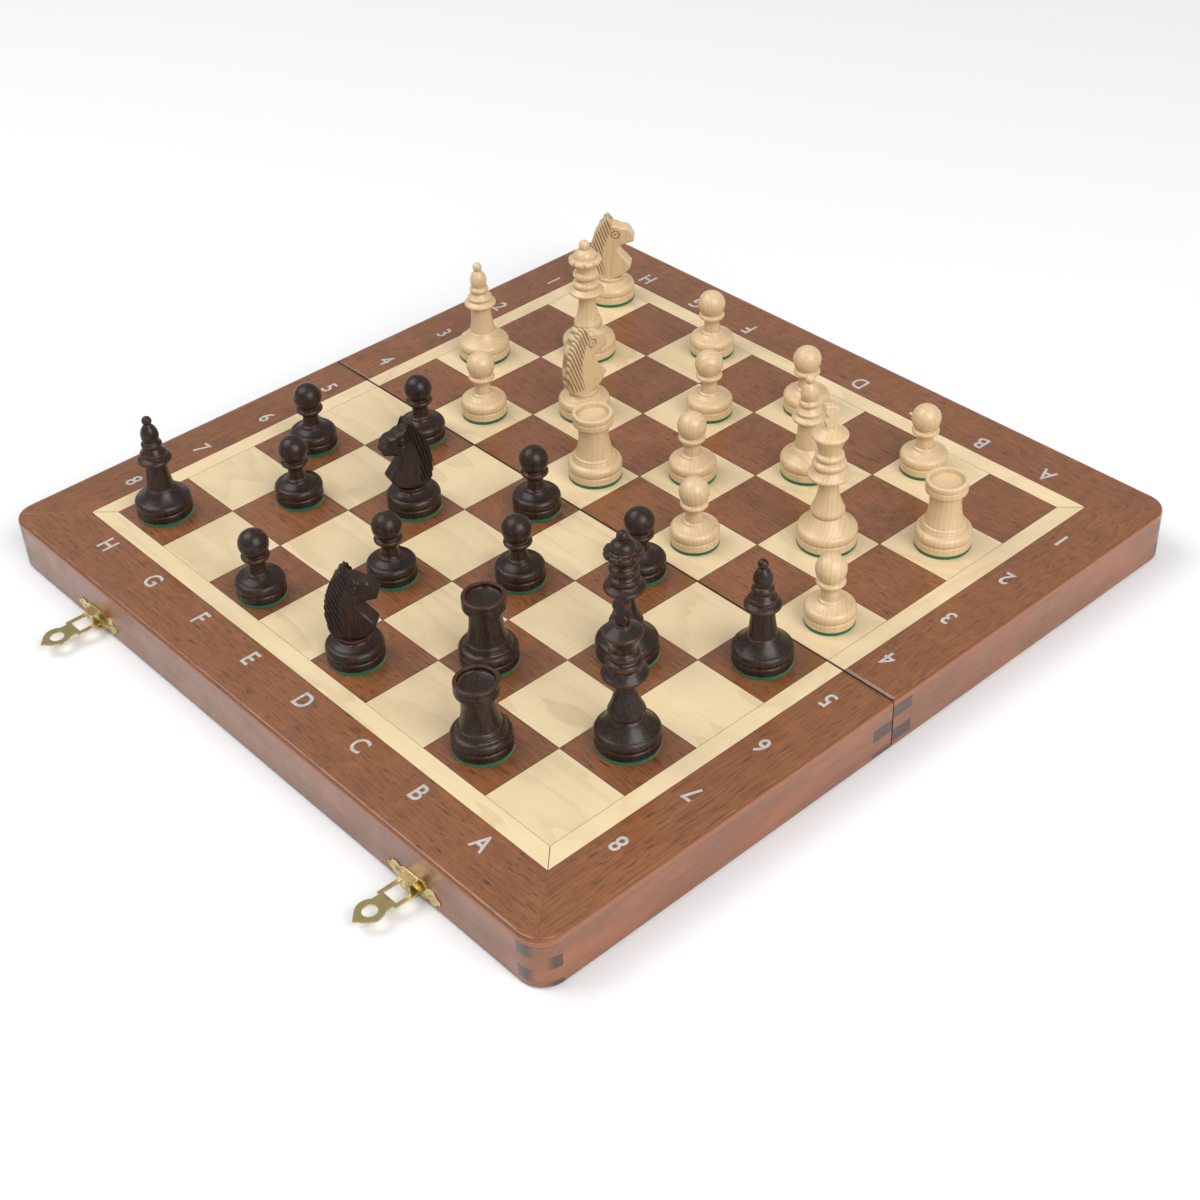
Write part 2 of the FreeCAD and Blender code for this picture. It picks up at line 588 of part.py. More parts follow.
def king(size):
    """Base, bulb, neck, collar, two rings, cup-shaped crown with a notched block as finial."""
    top = size["height"]
    bulb_r, neck_r, collar_r = size["bulb_r"], size["neck_r"], size["collar_r"]
    crown_r = size["crown_r"]
    cup_top = top - size["finial_high"]
    bulb_z, collar_z, rim_z = size["shoulder"] + 3.7, top - 46.7, top - 21.3
    steps = base_steps(size["base_r"], size["shoulder"], bulb_r - 0.5)
    steps += bead(bulb_r - 1.0, size["shoulder"] + 0.5, bulb_r, bulb_z, neck_r + 1.9, bulb_z + 7.0)
    steps += [(neck_r, collar_z - 10.3)]
    steps += bead(neck_r + 0.2, collar_z - 7.0, collar_r, collar_z, collar_r - 2.55, collar_z + 5.2)
    steps += [(neck_r + 3.35, collar_z + 5.7), (neck_r + 3.65, collar_z + 6.4),
              (neck_r + 3.4, collar_z + 8.8), (neck_r + 2.2, collar_z + 10.2),
              (neck_r + 2.45, collar_z + 10.9), (neck_r + 2.15, collar_z + 13.0),
              (neck_r + 0.9, collar_z + 14.5), (neck_r + 0.85, collar_z + 15.4),
              ((crown_r - 2.3, rim_z - 4.6), (crown_r, rim_z)),
              ((crown_r - 0.1, rim_z + 1.2), (crown_r - 1.1, rim_z + 2.2)),
              (4.3, cup_top - 1.0), (4.1, cup_top), (0, cup_top)]
    body = turned((0, FELT), steps)
    return [body.fuse(king_finial(size, cup_top - 1.2, top)).removeSplitter()]


def king_finial(size, low, top):
    """A flat block, waisted by a V on each narrow side, with its top corners taken off."""
    wide, thick = size["finial_wide"] / 2, size["finial_thick"] / 2
    tall = top - low
    right = [(wide * 0.62, low), (wide * 0.74, low + tall * 0.22), (wide, low + tall * 0.38),
             (wide * 0.52, low + tall * 0.52), (wide, low + tall * 0.72),
             (wide * 0.80, top)]
    ring = [point(x, -thick, z) for x, z in right + [(-x, z) for x, z in reversed(right)]]
    return Part.Face(Part.makePolygon(ring + ring[:1])).extrude(point(0, 2 * thick, 0))


def knight_outline(size, low):
    """The head from the side, facing +X: chest, jaw, muzzle, forehead, ear, mane, back."""
    scale_x = size["head_long"]
    scale_z = size["head_high"]
    # Shares of the head's length and height, from its axis and from its foot.
    corners = [(0.0, 0.01), (0.135, 0.02), (0.265, 0.06), (0.365, 0.12), (0.46, 0.20),
               (0.49, 0.245), (0.437, 0.30), (0.36, 0.36), (0.28, 0.41), (0.20, 0.50),
               (0.27, 0.555), (0.345, 0.58), (0.43, 0.60), (0.555, 0.62), (0.565, 0.67),
               (0.52, 0.74), (0.475, 0.80), (0.41, 0.84), (0.255, 0.843), (0.19, 0.877),
               (0.085, 0.88), (0.065, 0.92), (0.02, 0.905), (0.0, 1.0), (-0.05, 0.995),
               (-0.11, 0.957), (-0.20, 0.855), (-0.27, 0.78), (-0.32, 0.70), (-0.36, 0.63),
               (-0.40, 0.525), (-0.43, 0.41), (-0.435, 0.29), (-0.42, 0.185), (-0.387, 0.085),
               (-0.32, 0.02)]
    return [(x * scale_x, low + z * scale_z) for x, z in corners]


def knight(size):
    """A turned base with a carved horse's head: flat sides, tapered nose, mane cut in lines."""
    neck_z = size["shoulder"] + size["neck_high"]
    steps = base_steps(size["base_r"], size["shoulder"], size["neck_r"] + 0.7)
    steps += [(size["neck_r"], size["shoulder"] + 0.5), (size["neck_r"], neck_z + 0.3),
              (0, neck_z + 0.6)]
    base = turned((0, FELT), steps)
    thick, nose = size["head_thick"] / 2, size["nose_thick"] / 2
    long, high = size["head_long"], size["head_high"]
    ring = [point(x, -thick, z) for x, z in knight_outline(size, neck_z)]
    head = Part.Face(Part.makePolygon(ring + ring[:1])).extrude(point(0, 2 * thick, 0))
    plan = prism([(-long, -nose), (-long * 0.32, -thick), (long * 0.22, -thick),
                  (long * 0.60, -nose), (long * 0.60, nose), (long * 0.22, thick),
                  (-long * 0.32, thick), (-long, nose)], neck_z, neck_z + high)
    head = head.common(plan)
    tools = []
    for side in (-1, 1):
        y = side * thick
        for i in range(size["mane_cuts"]):
            share = i / size["mane_cuts"]
            start = point(-long * (0.38 - 0.30 * share), y, neck_z + high * (0.60 + 0.28 * share))
            end = point(-long * (0.24 - 0.22 * share), y, neck_z + high * (0.12 + 0.10 * share))
            tools.append(rod(size["mane_cut_r"], start, end))
        eye = point(long * 0.16, y + side * 0.5, neck_z + high * 0.725)
        tools.append(rod(size["eye_r"], eye, eye.sub(point(0, side * 1.3, 0))))
    return [base.fuse(head.cut(tools)).removeSplitter()]


MAKERS = {"pawn": (pawn, PAWN), "rook": (rook, ROOK), "bishop": (bishop, BISHOP),
          "queen": (queen, QUEEN), "king": (king, KING), "knight": (knight, KNIGHT)}


def square_centre(name):
    """Centre of a square in X and Y, the rows beside the fold being narrower by the kerf."""
    x = FIELD_X - SQUARE * (FILES.index(name[0]) + 0.5)
    away = abs(RANKS // 2 + 0.5 - int(name[1]))          # rows from the fold to the centre
    side = 1 if int(name[1]) <= RANKS // 2 else -1
    inner = max(FOLD_Y, (away - 0.5) * SQUARE - SAW_KERF)
    outer = (away + 0.5) * SQUARE - SAW_KERF
    return x, side * (inner + outer) / 2


def save_men():
    """All the men on their squares, each a node of its own: wood and felt."""
    shapes = {}
    counts = {}
    for kind, (maker, size) in MAKERS.items():
        shapes[kind] = maker(size) + [felt_disc(size["base_r"])]
    total = {}
    for colour, kind, _, _, _, _ in MEN:
        total[colour + kind] = total.get(colour + kind, 0) + 1
    for colour, kind, square, off_x, off_y, turn in MEN:
        counts[colour + kind] = counts.get(colour + kind, 0) + 1
        name = colour + "_" + kind
        if total[colour + kind] > 1:
            name += "_" + str(counts[colour + kind])
        x, y = square_centre(square)
        save(name, [moved(shape, x + off_x, y + off_y, HALF_HEIGHT, turn)
                    for shape in shapes[kind]])


# ---------------------------------------------------------------- putting it together
def save_half(name, white):
    """One half of the board: rails, panel, veneers and hinge screws, in place."""
    place = list if white else half_turned
    corner = rails(side_first=not white)
    corner["fold"] = corner["fold"].cut(leaf_pockets())
    fix_x, height = ((catch_nail_x(), catch_height()) if white
                      else (latch_nail_x(), PIVOT_LIFT))
    pins = [moved(one, x, OUT_Y) for x in side_pair(LATCH_X)
            for one in half_turned(nails(fix_x, height))]
    corner["end"] = corner["end"].cut(pins)
    # The half turn that places the black half swaps its left and right rails.
    sides = ("left", "right") if white else ("right", "left")
    save(name + "_end_rail", place([corner["end"]]))
    save(name + "_fold_rail", place([corner["fold"]]))
    save(name + "_left_rail", place([corner[sides[0]]]))
    save(name + "_right_rail", place([corner[sides[1]]]))

    whole = slab()
    cover = block(-OUT_X - MARGIN, OUT_X + MARGIN, 0, OUT_Y + MARGIN,
                  HALF_HEIGHT - VENEER, HALF_HEIGHT + MARGIN)
    save(name + "_panel", place([whole.cut(cover)]))
    strip_x, strip_y = FIELD_X + STRIP, FIELD_Y + STRIP
    maple = squares(dark=False) + frame_strips(FIELD_X, FIELD_Y, strip_x, strip_y)
    border = frame_strips(strip_x, strip_y, OUT_X + MARGIN,
                          OUT_Y + MARGIN * BORDER_END / BORDER_SIDE)
    save(name + "_light_veneer", place(maple))
    save(name + "_dark_squares", place(squares(dark=True)))
    save(name + "_border_veneer", place([strip.common(whole) for strip in border]))
    save(name + "_hinge_screws", place(hinge_screws()))
    leaves = [moved(hinge_leaf(white), x) for x in side_pair(HINGE_X)]
    save(name + "_hinge_leaves", place(leaves))
    nail_name = "catch_nails" if white else "latch_nails"
    save(nail_name, place(pins))


def save_hardware():
    """Hinge pins, latch plates and hooks on the black end, catches on the white end."""
    half = HINGE_LONG / 2
    save("hinge_pins", [rod(PIN_R, point(x - half, 0, AXIS_Z), point(x + half, 0, AXIS_Z))
                        for x in side_pair(HINGE_X)])
    save("latch_plates", [moved(latch_plate(), x, -OUT_Y) for x in side_pair(LATCH_X)])
    for name, x in zip(("left", "right"), side_pair(LATCH_X)):
        hook = moved(latch_hook(), x, -OUT_Y - PIVOT_OUT, PIVOT_LIFT)
        save("latch_hook_" + name, [hook])
    save("catch_plates", [moved(catch_plate(), x, OUT_Y, turn=180) for x in side_pair(LATCH_X)])


def main():
    os.makedirs("parts", exist_ok=True)
    save_half("white_half", white=True)
    save_half("black_half", white=False)
    save_hardware()
    save_men()


main()
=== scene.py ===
import json
import math
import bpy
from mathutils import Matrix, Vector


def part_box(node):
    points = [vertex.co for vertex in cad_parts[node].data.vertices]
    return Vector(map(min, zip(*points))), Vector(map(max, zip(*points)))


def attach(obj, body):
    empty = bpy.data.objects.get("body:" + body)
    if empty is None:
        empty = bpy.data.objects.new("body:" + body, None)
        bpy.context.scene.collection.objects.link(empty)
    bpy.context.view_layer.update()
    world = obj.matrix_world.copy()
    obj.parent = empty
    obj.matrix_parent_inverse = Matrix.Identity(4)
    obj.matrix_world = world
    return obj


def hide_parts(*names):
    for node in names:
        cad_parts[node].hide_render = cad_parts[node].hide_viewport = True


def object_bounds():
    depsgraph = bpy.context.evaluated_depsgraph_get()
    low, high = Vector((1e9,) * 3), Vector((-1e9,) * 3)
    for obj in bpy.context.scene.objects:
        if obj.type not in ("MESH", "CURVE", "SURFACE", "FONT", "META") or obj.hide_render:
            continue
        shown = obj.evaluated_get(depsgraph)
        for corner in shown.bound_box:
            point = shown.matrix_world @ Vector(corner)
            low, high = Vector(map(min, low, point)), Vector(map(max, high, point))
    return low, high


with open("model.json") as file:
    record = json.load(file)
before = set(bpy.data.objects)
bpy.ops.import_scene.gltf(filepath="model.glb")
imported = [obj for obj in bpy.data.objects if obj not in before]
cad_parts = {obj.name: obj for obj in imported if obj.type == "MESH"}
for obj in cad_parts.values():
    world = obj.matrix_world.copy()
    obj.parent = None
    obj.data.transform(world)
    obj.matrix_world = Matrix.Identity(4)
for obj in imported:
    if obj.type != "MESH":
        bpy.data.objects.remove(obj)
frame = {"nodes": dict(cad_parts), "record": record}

import zlib

import bmesh
import bpy
import numpy as np
from bpy.props import FloatProperty, FloatVectorProperty, IntProperty, PointerProperty
from mathutils import Matrix, Vector

bl_info = {
    "name": "Wooden Chess Set",
    "version": (1, 0, 0),
    "blender": (4, 5, 0),
    "location": "3D View > Sidebar > Chess",
    "description": "Turned chessmen, veneered folding board and its brass fittings",
    "category": "Object",
}

MM = 0.001
FILES = "ABCDEFGH"
RANKS = 8
CAD_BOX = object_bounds()
BODY_OF = {node: body for body, nodes in frame["record"]["behaviour"]["bodies"].items() for node in nodes}
MEN = sorted(node for node in frame["nodes"] if BODY_OF[node] == node and "hook" not in node)

# The board's driving lines, read from the frame.
FIELD_LOW, FIELD_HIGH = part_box("white_half_dark_squares")
STRIP_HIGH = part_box("white_half_light_veneer")[1]
OUTER_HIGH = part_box("white_half_border_veneer")[1]
SQUARE = 2 * FIELD_HIGH.x / len(FILES)
SAW_KERF = SQUARE * RANKS / 2 - FIELD_HIGH.y
FOLD_Y = FIELD_LOW.y
TOP_Z = FIELD_HIGH.z
VENEER = FIELD_HIGH.z - FIELD_LOW.z

# The king's finial and where the knight's head stands above the board, in millimetres.
FINIAL_HIGH = 15.2
HEAD_FOOT = 17.0

# How far each carved man is turned about its own axis, in degrees from +X.
TURNS = {"white_knight_1": 85, "white_knight_2": 42, "black_knight_1": 40, "black_knight_2": 258,
         "white_king": 62, "black_king": 20}


# ---------------------------------------------------------------- properties
def length(name, millimetres, description):
    """A length kept in metres, with its default given in millimetres."""
    return FloatProperty(name=name, description=description, default=millimetres * MM,
                         unit="LENGTH", subtype="DISTANCE", precision=5)


def colour(name, rgb, description):
    """A colour, in the renderer's linear values."""
    return FloatVectorProperty(name=name, description=description, default=rgb, size=3,
                               subtype="COLOR", min=0.0, max=1.0)


class CHESS_PG_board(bpy.types.PropertyGroup):
    corner_r: length("Corner radius", 15.0, "Rounding of the board's outside corners")
    arris_r: length("Arris", 2.0, "Rounding of the top edge, all round")
    joint_line: length("Joint line", 0.12, "Bevel along every veneer joint")
    rail_edge: length("Rail edge", 0.35, "Rounding along the rails and their fingers")
    metal_edge: length("Metal edge", 0.12, "Rounding along the stamped brass")
    cap_high: length("Letter height", 11.4, "Height of the printed letters and numbers")
    print_thick: length("Print thickness", 0.02, "How far the print stands on the lacquer")
    letter_line: length("Letter line", 22.2, "Centre of the letters beyond the playing field")


class CHESS_PG_men(bpy.types.PropertyGroup):
    felt: length("Felt", 1.8, "Thickness of the felt under each man")
    felt_inset: length("Felt inset", 0.05, "Felt short of the wood")
    foot: length("Foot", 6.7, "Board to the groove round each base")
    groove: length("Groove", 0.7, "Depth of that groove")
    band: length("Band", 11.3, "Board to the top of the band above the groove")
    band_inset: length("Band inset", 0.5, "That band short of the foot")
    softness: length("Softness", 0.2, "Rounding of every turned edge by sanding and lacquer")
    ring_width: length("Growth ring", 2.6, "Width of one year's growth in the men's wood")
    segments: IntProperty(name="Segments", default=80, min=24, max=160,
                          description="Faces round each turned man")


class CHESS_PG_finish(bpy.types.PropertyGroup):
    light_man: colour("Light men", (0.70, 0.505, 0.285), "Natural hornbeam under lacquer")
    dark_man: colour("Dark men", (0.014, 0.0075, 0.0055), "Ebonised wood")
    dark_man_worn: colour("Dark men, worn", (0.26, 0.085, 0.022), "Stain rubbed thin on edges")
    maple: colour("Light squares", (0.79, 0.62, 0.375), "Maple veneer")
    mahogany: colour("Dark squares", (0.262, 0.096, 0.033), "Mahogany veneer")
    rail: colour("Rails", (0.25, 0.086, 0.031), "Stained beech rails")
    rail_end_grain: colour("End grain", (0.060, 0.026, 0.018), "Stain soaked into end grain")
    brass: colour("Brass", (0.70, 0.57, 0.27), "Stamped brass")
    felt: colour("Felt", (0.0, 0.140, 0.058), "Green felt")
    print_ink: colour("Print", (0.52, 0.51, 0.49), "Silver-white print")


class CHESS_PG_view(bpy.types.PropertyGroup):
    place: FloatVectorProperty(name="Camera", description="Where the camera stands",
                               default=(0.7437, -0.6206, 0.7210), subtype="TRANSLATION")
    aim: FloatVectorProperty(name="Aim", description="Point on the board it looks at",
                             default=(0.0734, -0.0507, 0.0320), subtype="TRANSLATION")
    roll: FloatProperty(name="Roll", description="Tilt of the camera about its line of sight",
                        default=math.radians(-3.08), subtype="ANGLE")
    lens: FloatProperty(name="Lens", description="Focal length in millimetres",
                        default=59.47, min=10.0)
    floor: length("Floor", 6000.0, "Size of the floor under the board")


# ---------------------------------------------------------------- meshes
def object_of(name, data):
    """An object at the origin that holds the data, in the scene."""
    obj = bpy.data.objects.new(name, data)
    bpy.context.scene.collection.objects.link(obj)
    return obj


def points_of(mesh):
    """The mesh's points as an array with a row for each."""
    points = np.zeros(len(mesh.vertices) * 3, np.float32)
    mesh.vertices.foreach_get("co", points)
    return points.reshape(-1, 3)


def lay_mesh(name, points, quads, tris, finish, smooth=True, **marks):
    """An object from an array of points and arrays of four and three corner numbers.

    finish is a material's name.  marks are values kept on the points: a number or a vector for each.
    """
    mesh = bpy.data.meshes.new(name)
    corners = np.concatenate([np.ravel(quads), np.ravel(tris)]).astype(np.int32)
    sizes = np.concatenate([np.full(len(quads), 4), np.full(len(tris), 3)])
    starts = np.concatenate([[0], np.cumsum(sizes)[:-1]]).astype(np.int32)
    mesh.vertices.add(len(points))
    mesh.vertices.foreach_set("co", np.ravel(points).astype(np.float32))
    mesh.loops.add(len(corners))
    mesh.loops.foreach_set("vertex_index", corners)
    mesh.polygons.add(len(starts))
    mesh.polygons.foreach_set("loop_start", starts)
    mesh.polygons.foreach_set("use_smooth", np.full(len(starts), smooth))
    mesh.update(calc_edges=True)
    mark_points(mesh, **marks)
    dress(mesh, finish)
    return object_of(name, mesh)


def dress(mesh, finish):
    """Gives a mesh the material of that name and no other."""
    mesh.materials.clear()
    mesh.materials.append(bpy.data.materials[finish])


def mark_points(mesh, **marks):
    """Writes each mark onto the mesh's points, as a number or a vector."""
    for key, values in marks.items():
        values = np.asarray(values, np.float32)
        kind, field = ("FLOAT_VECTOR", "vector") if values.ndim == 2 else ("FLOAT", "value")
        mesh.attributes.new(key, kind, "POINT").data.foreach_set(field, values.ravel())


def tube_faces(rings, around):
    """Quads between closed rings, and fans to a pole at each end.

    Ring i's point j is number i * around + j; the two poles come last, the first ring's first.
    """
    here = np.arange(around)
    after = (here + 1) % around
    base = (np.arange(rings - 1) * around)[:, None]
    quads = np.stack([base + here, base + after, base + around + after, base + around + here], -1)
    last = (rings - 1) * around
    first_pole = rings * around
    low = np.stack([np.full(around, first_pole), after, here], -1)
    high = np.stack([np.full(around, first_pole + 1), last + here, last + after], -1)
    return quads.reshape(-1, 4), np.concatenate([low, high])


def finish_piece(obj, body, slot, *nodes):
    """Lets a piece ride on its body and hides the frame nodes that it stands for; slot is not used."""
    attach(obj, body)
    if nodes:
        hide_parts(*nodes)
    return obj


def seed_of(name):
    """Random draws that depend only on the piece's name."""
    return np.random.default_rng(zlib.crc32(name.encode()))


def log_coordinates(points, seed, pith=(10, 45), tilt=5.0):
    """Places in the log a man was cut from: along the fibre in Z, from the pith in X and Y.

    The man is turned by a chance angle, pushed off the pith and leant a little.
    """
    spin, lean = seed.uniform(0, 2 * math.pi), math.radians(seed.uniform(-tilt, tilt))
    turn = Matrix.Rotation(lean, 3, "Y") @ Matrix.Rotation(spin, 3, "Z")
    away = np.array([seed.uniform(*pith) * MM, 0, seed.uniform(0, 0.5)])
    return points @ np.array(turn).T + away


# ---------------------------------------------------------------- turned profiles, in millimetres
def arc_through(start, middle, end, count=24):
    """Points along the circle through three points, from the first to the last."""
    a, b, c = (np.array(p, float) for p in (start, middle, end))
    rows = 2 * np.array([b - a, c - a])
    centre = np.linalg.solve(rows, [b @ b - a @ a, c @ c - a @ a])
    radius = np.hypot(*(a - centre))
    first, via, last = (math.atan2(*(p - centre)[::-1]) for p in (a, b, c))
    around = (last - first) % (2 * math.pi)
    if (via - first) % (2 * math.pi) > around:
        around -= 2 * math.pi
    angles = first + around * np.linspace(0, 1, count)
    return centre + radius * np.stack([np.cos(angles), np.sin(angles)], -1)


def turned_line(start, steps, softness, spacing=0.45, fine_step=0.05, hand_reach=1.1, full_mark=0.35):
    """A profile from its steps, evenly spaced and softened, and how proud each of its points is.

    A step is an end point (r, z) or a pair of points, the middle and the end of an arc.  The
    softened line is the mean of its neighbourhood under a bell curve as wide as softness.  A point
    is proud, up to 1, where it stands out by full_mark from a line softened as widely as a hand
    reaches, and sunk, down to -1, where it lies inside that line.
    """
    pieces = [np.array([start], float)]
    for step in steps:
        here = pieces[-1][-1]
        if isinstance(step[0], tuple):
            pieces.append(arc_through(here, *step)[1:])
        else:
            pieces.append(np.array([step], float))
    line = np.concatenate(pieces)
    along = np.concatenate([[0], np.cumsum(np.hypot(*np.diff(line, axis=0).T))])
    fine = np.arange(0, along[-1], fine_step)
    dense = np.stack([np.interp(fine, along, line[:, k]) for k in (0, 1)], -1)
    soft = blurred(dense, softness / fine_step)
    wide = blurred(dense, hand_reach / fine_step)
    run = np.gradient(soft, axis=0)
    outward = np.stack([run[:, 1], -run[:, 0]], -1) / np.hypot(*run.T)[:, None]
    proud = np.sum((soft - wide) * outward, axis=1)
    picked = np.unique(np.round(np.linspace(0, len(fine) - 1, int(along[-1] / spacing))).astype(int))
    return soft[picked], np.clip(proud[picked] / full_mark, -1, 1)


def blurred(line, width):
    """The line under a bell curve of that width in points, mirrored about its ends on the axis."""
    reach = int(3 * width) + 1
    bell = np.exp(-0.5 * (np.arange(-reach, reach + 1) / width) ** 2)
    bell /= bell.sum()
    before, after = line[reach:0:-1] * [-1, 1], line[-2:-reach - 2:-1] * [-1, 1]
    padded = np.concatenate([before, line, after])
    return np.stack([np.convolve(padded[:, k], bell, "valid") for k in (0, 1)], -1)


def cap(radius, z, rise):
    """The arc from (radius, z) to the axis, ending rise above z."""
    ball = (radius ** 2 + rise ** 2) / (2 * abs(rise))
    half = math.asin(radius / ball) / 2
    centre = z + rise - math.copysign(ball, rise)
    middle = (ball * math.sin(half), centre + math.copysign(ball * math.cos(half), rise))
    return middle, (0, z + rise)


def ball_on_top(ball_r, top, neck_share):
    """Where the ball leaves its neck, and the arc over it to the axis."""
    centre = top - ball_r
    neck = (neck_share * ball_r, centre - ball_r * math.sqrt(1 - neck_share ** 2))
    return neck, [((ball_r, centre), (0, top))]


def base_steps(men, base_r, shoulder, stem_r):
    """The foot every man stands on: upright ring, groove, rounded band, and a slope to the stem."""
    felt, foot, groove, band = men.felt / MM, men.foot / MM, men.groove / MM, men.band / MM
    rim_r, rim_z = base_r - men.band_inset / MM - 1.4, band + 1.5
    slope = ((rim_r + stem_r) / 2 - 0.25, (rim_z + shoulder) / 2 - 0.3)
    return [(base_r - 0.4, felt), (base_r, felt + 0.4), (base_r, foot - 0.4), (base_r - groove, foot),
            (base_r - groove, foot + 0.4), ((base_r, band - 0.5), (rim_r, rim_z)),
            (slope, (stem_r, shoulder))]


def pawn_steps(men, base_r, top):
    """Base, a step at the neck's foot, a collar like a cup, and a ball."""
    seat, ball = ball_on_top(8.9, top, 0.74)
    collar_z = top - 17.2
    steps = base_steps(men, base_r, 14.9, 7.6) + [(7.0, 15.2), (6.9, 16.0), (5.5, 16.9), (5.0, 21.0)]
    steps += [((5.5, collar_z - 3.2), (7.7, collar_z - 1.3)),
              ((8.4, collar_z), (7.7, collar_z + 1.3)), (6.3, collar_z + 2.0), seat]
    return steps + ball


def rook_steps(men, base_r, top):
    """Base with a ring, waisted tower, and a low crown whose bowl has an upright wall."""
    crown_z, crown_r = top - 7.5, 12.3
    steps = base_steps(men, base_r, 14.6, 13.2)
    steps += [(12.7, 15.0), (12.6, 16.2), (11.4, 17.0), (11.3, 17.5),
              ((9.85, 23.8), (9.2, crown_z - 7.0)), (9.5, crown_z - 1.2), (crown_r - 0.4, crown_z - 0.3),
              (crown_r, crown_z + 0.2), (crown_r, crown_z + 3.4), (crown_r - 0.6, crown_z + 3.9),
              (crown_r, crown_z + 4.4), (crown_r, top - 0.5), (crown_r - 0.5, top), (10.1, top),
              (9.7, top - 2.8), cap(9.7, top - 2.8, -1.4)]
    return steps


def bishop_steps(men, base_r, top):
    """Base, slender neck, sharp collar, a cone and a ring over it, an egg with a small ball."""
    seat, ball = ball_on_top(3.0, top, 0.62)
    collar_z = top - 29.2
    steps = base_steps(men, base_r, 19.0, 9.0)
    steps += [(8.3, 19.4), ((7.25, 26.0), (6.4, collar_z - 4.4)),
              ((6.9, collar_z - 2.2), (9.6, collar_z - 1.2)),
              ((10.4, collar_z), (9.7, collar_z + 1.3)), (7.2, collar_z + 3.0),
              ((8.1, collar_z + 4.3), (7.2, collar_z + 5.6)), (5.2, collar_z + 8.3),
              ((6.3, collar_z + 10.2), (5.2, collar_z + 12.1)), (4.6, collar_z + 12.7),
              ((5.4, top - 12.0), seat)]
    return steps + ball


def queen_steps(men, base_r, top):
    """Base, bulb, neck, collar, two rings, and a coronet's rim and dome under a ball."""
    seat, ball = ball_on_top(3.5, top, 0.72)
    shoulder, neck_r, collar_r, crown_r = 20.3, 5.7, 11.7, 10.9
    bulb_z, collar_z, crown_z = shoulder + 3.7, top - 36.3, top - 14.0
    steps = base_steps(men, base_r, shoulder - 0.4, 9.2)
    steps += [(8.3, shoulder + 0.2), ((9.35, bulb_z - 1.8), (8.9, bulb_z + 0.9)),
              ((6.75, bulb_z + 6.6), (neck_r, collar_z - 9.0)), (neck_r, collar_z - 6.0),
              ((neck_r + 0.9, collar_z - 2.8), (collar_r - 1.0, collar_z - 1.3)),
              ((collar_r, collar_z), (collar_r - 0.9, collar_z + 1.2)),
              ((9.3, collar_z + 2.2), (7.9, collar_z + 3.4)),
              ((8.9, collar_z + 5.2), (7.3, collar_z + 7.4)), (6.5, collar_z + 8.3),
              (6.7, collar_z + 9.6), ((8.4, collar_z + 11.9), (6.7, collar_z + 14.4)),
              (6.2, crown_z - 7.2), ((6.9, crown_z - 3.8), (crown_r - 0.9, crown_z - 1.7)),
              ((crown_r, crown_z), (crown_r - 0.9, crown_z + 1.8)), (crown_r - 3.4, crown_z + 2.4),
              ((crown_r - 4.7, crown_z + 6.0), seat)]
    return steps + ball


def king_steps(men, base_r, top):
    """Base, bulb, neck, collar, two rings and a cup-shaped crown, up to the finial's foot."""
    shoulder, neck_r, collar_r, crown_r = 20.3, 5.75, 12.45, 10.4
    bulb_z, collar_z, rim_z, cup_top = shoulder + 3.7, top - 46.7, top - 21.3, top - FINIAL_HIGH
    steps = base_steps(men, base_r, shoulder - 0.4, 9.8)
    steps += [(8.9, shoulder + 0.2), ((10.0, bulb_z - 1.8), (9.6, bulb_z + 0.9)),
              ((7.2, bulb_z + 7.2), (neck_r, collar_z - 10.3)), (neck_r, collar_z - 7.2),
              ((neck_r + 1.1, collar_z - 3.2), (collar_r - 1.2, collar_z - 1.6)),
              ((collar_r, collar_z), (collar_r - 1.0, collar_z + 1.5)),
              ((9.9, collar_z + 3.2), (8.7, collar_z + 4.8)), (8.8, collar_z + 5.2),
              ((9.9, collar_z + 7.2), (8.2, collar_z + 9.6)), (7.4, collar_z + 10.2),
              (7.6, collar_z + 10.8), ((8.5, collar_z + 12.4), (7.0, collar_z + 14.6)),
              (6.5, collar_z + 15.3), ((7.9, rim_z - 4.8), (crown_r, rim_z)),
              ((crown_r + 0.1, rim_z + 1.2), (crown_r - 1.0, rim_z + 2.2)),
              (4.3, cup_top - 1.0), (4.1, cup_top), (0, cup_top)]
    return steps


def knight_steps(men, base_r, top):
    """Base and the neck disc that carries the carved head."""
    steps = base_steps(men, base_r, 14.8, 9.6)
    return steps + [(8.8, 15.2), (8.8, HEAD_FOOT + 0.4), (0, HEAD_FOOT + 0.6)]


STEPS = {"pawn": pawn_steps, "rook": rook_steps, "bishop": bishop_steps,
         "queen": queen_steps, "king": king_steps, "knight": knight_steps}


def coronet_notches(angle, z, top, count=9, deep=1.3, rim_below=14.0, rim_high=2.3, flat=0.45):
    """How far round scoops cut the queen's rim.

    A scoop is the part of a cosine of count times the angle that is above flat, and it fades by a
    steep bell curve away from the rim's height.
    """
    scoop = np.clip(np.cos(count * angle) - flat, 0, None) / (1 - flat)
    rim = np.exp(-((z - (top - rim_below)) / rim_high) ** 4)
    return deep * scoop ** 0.8 * rim


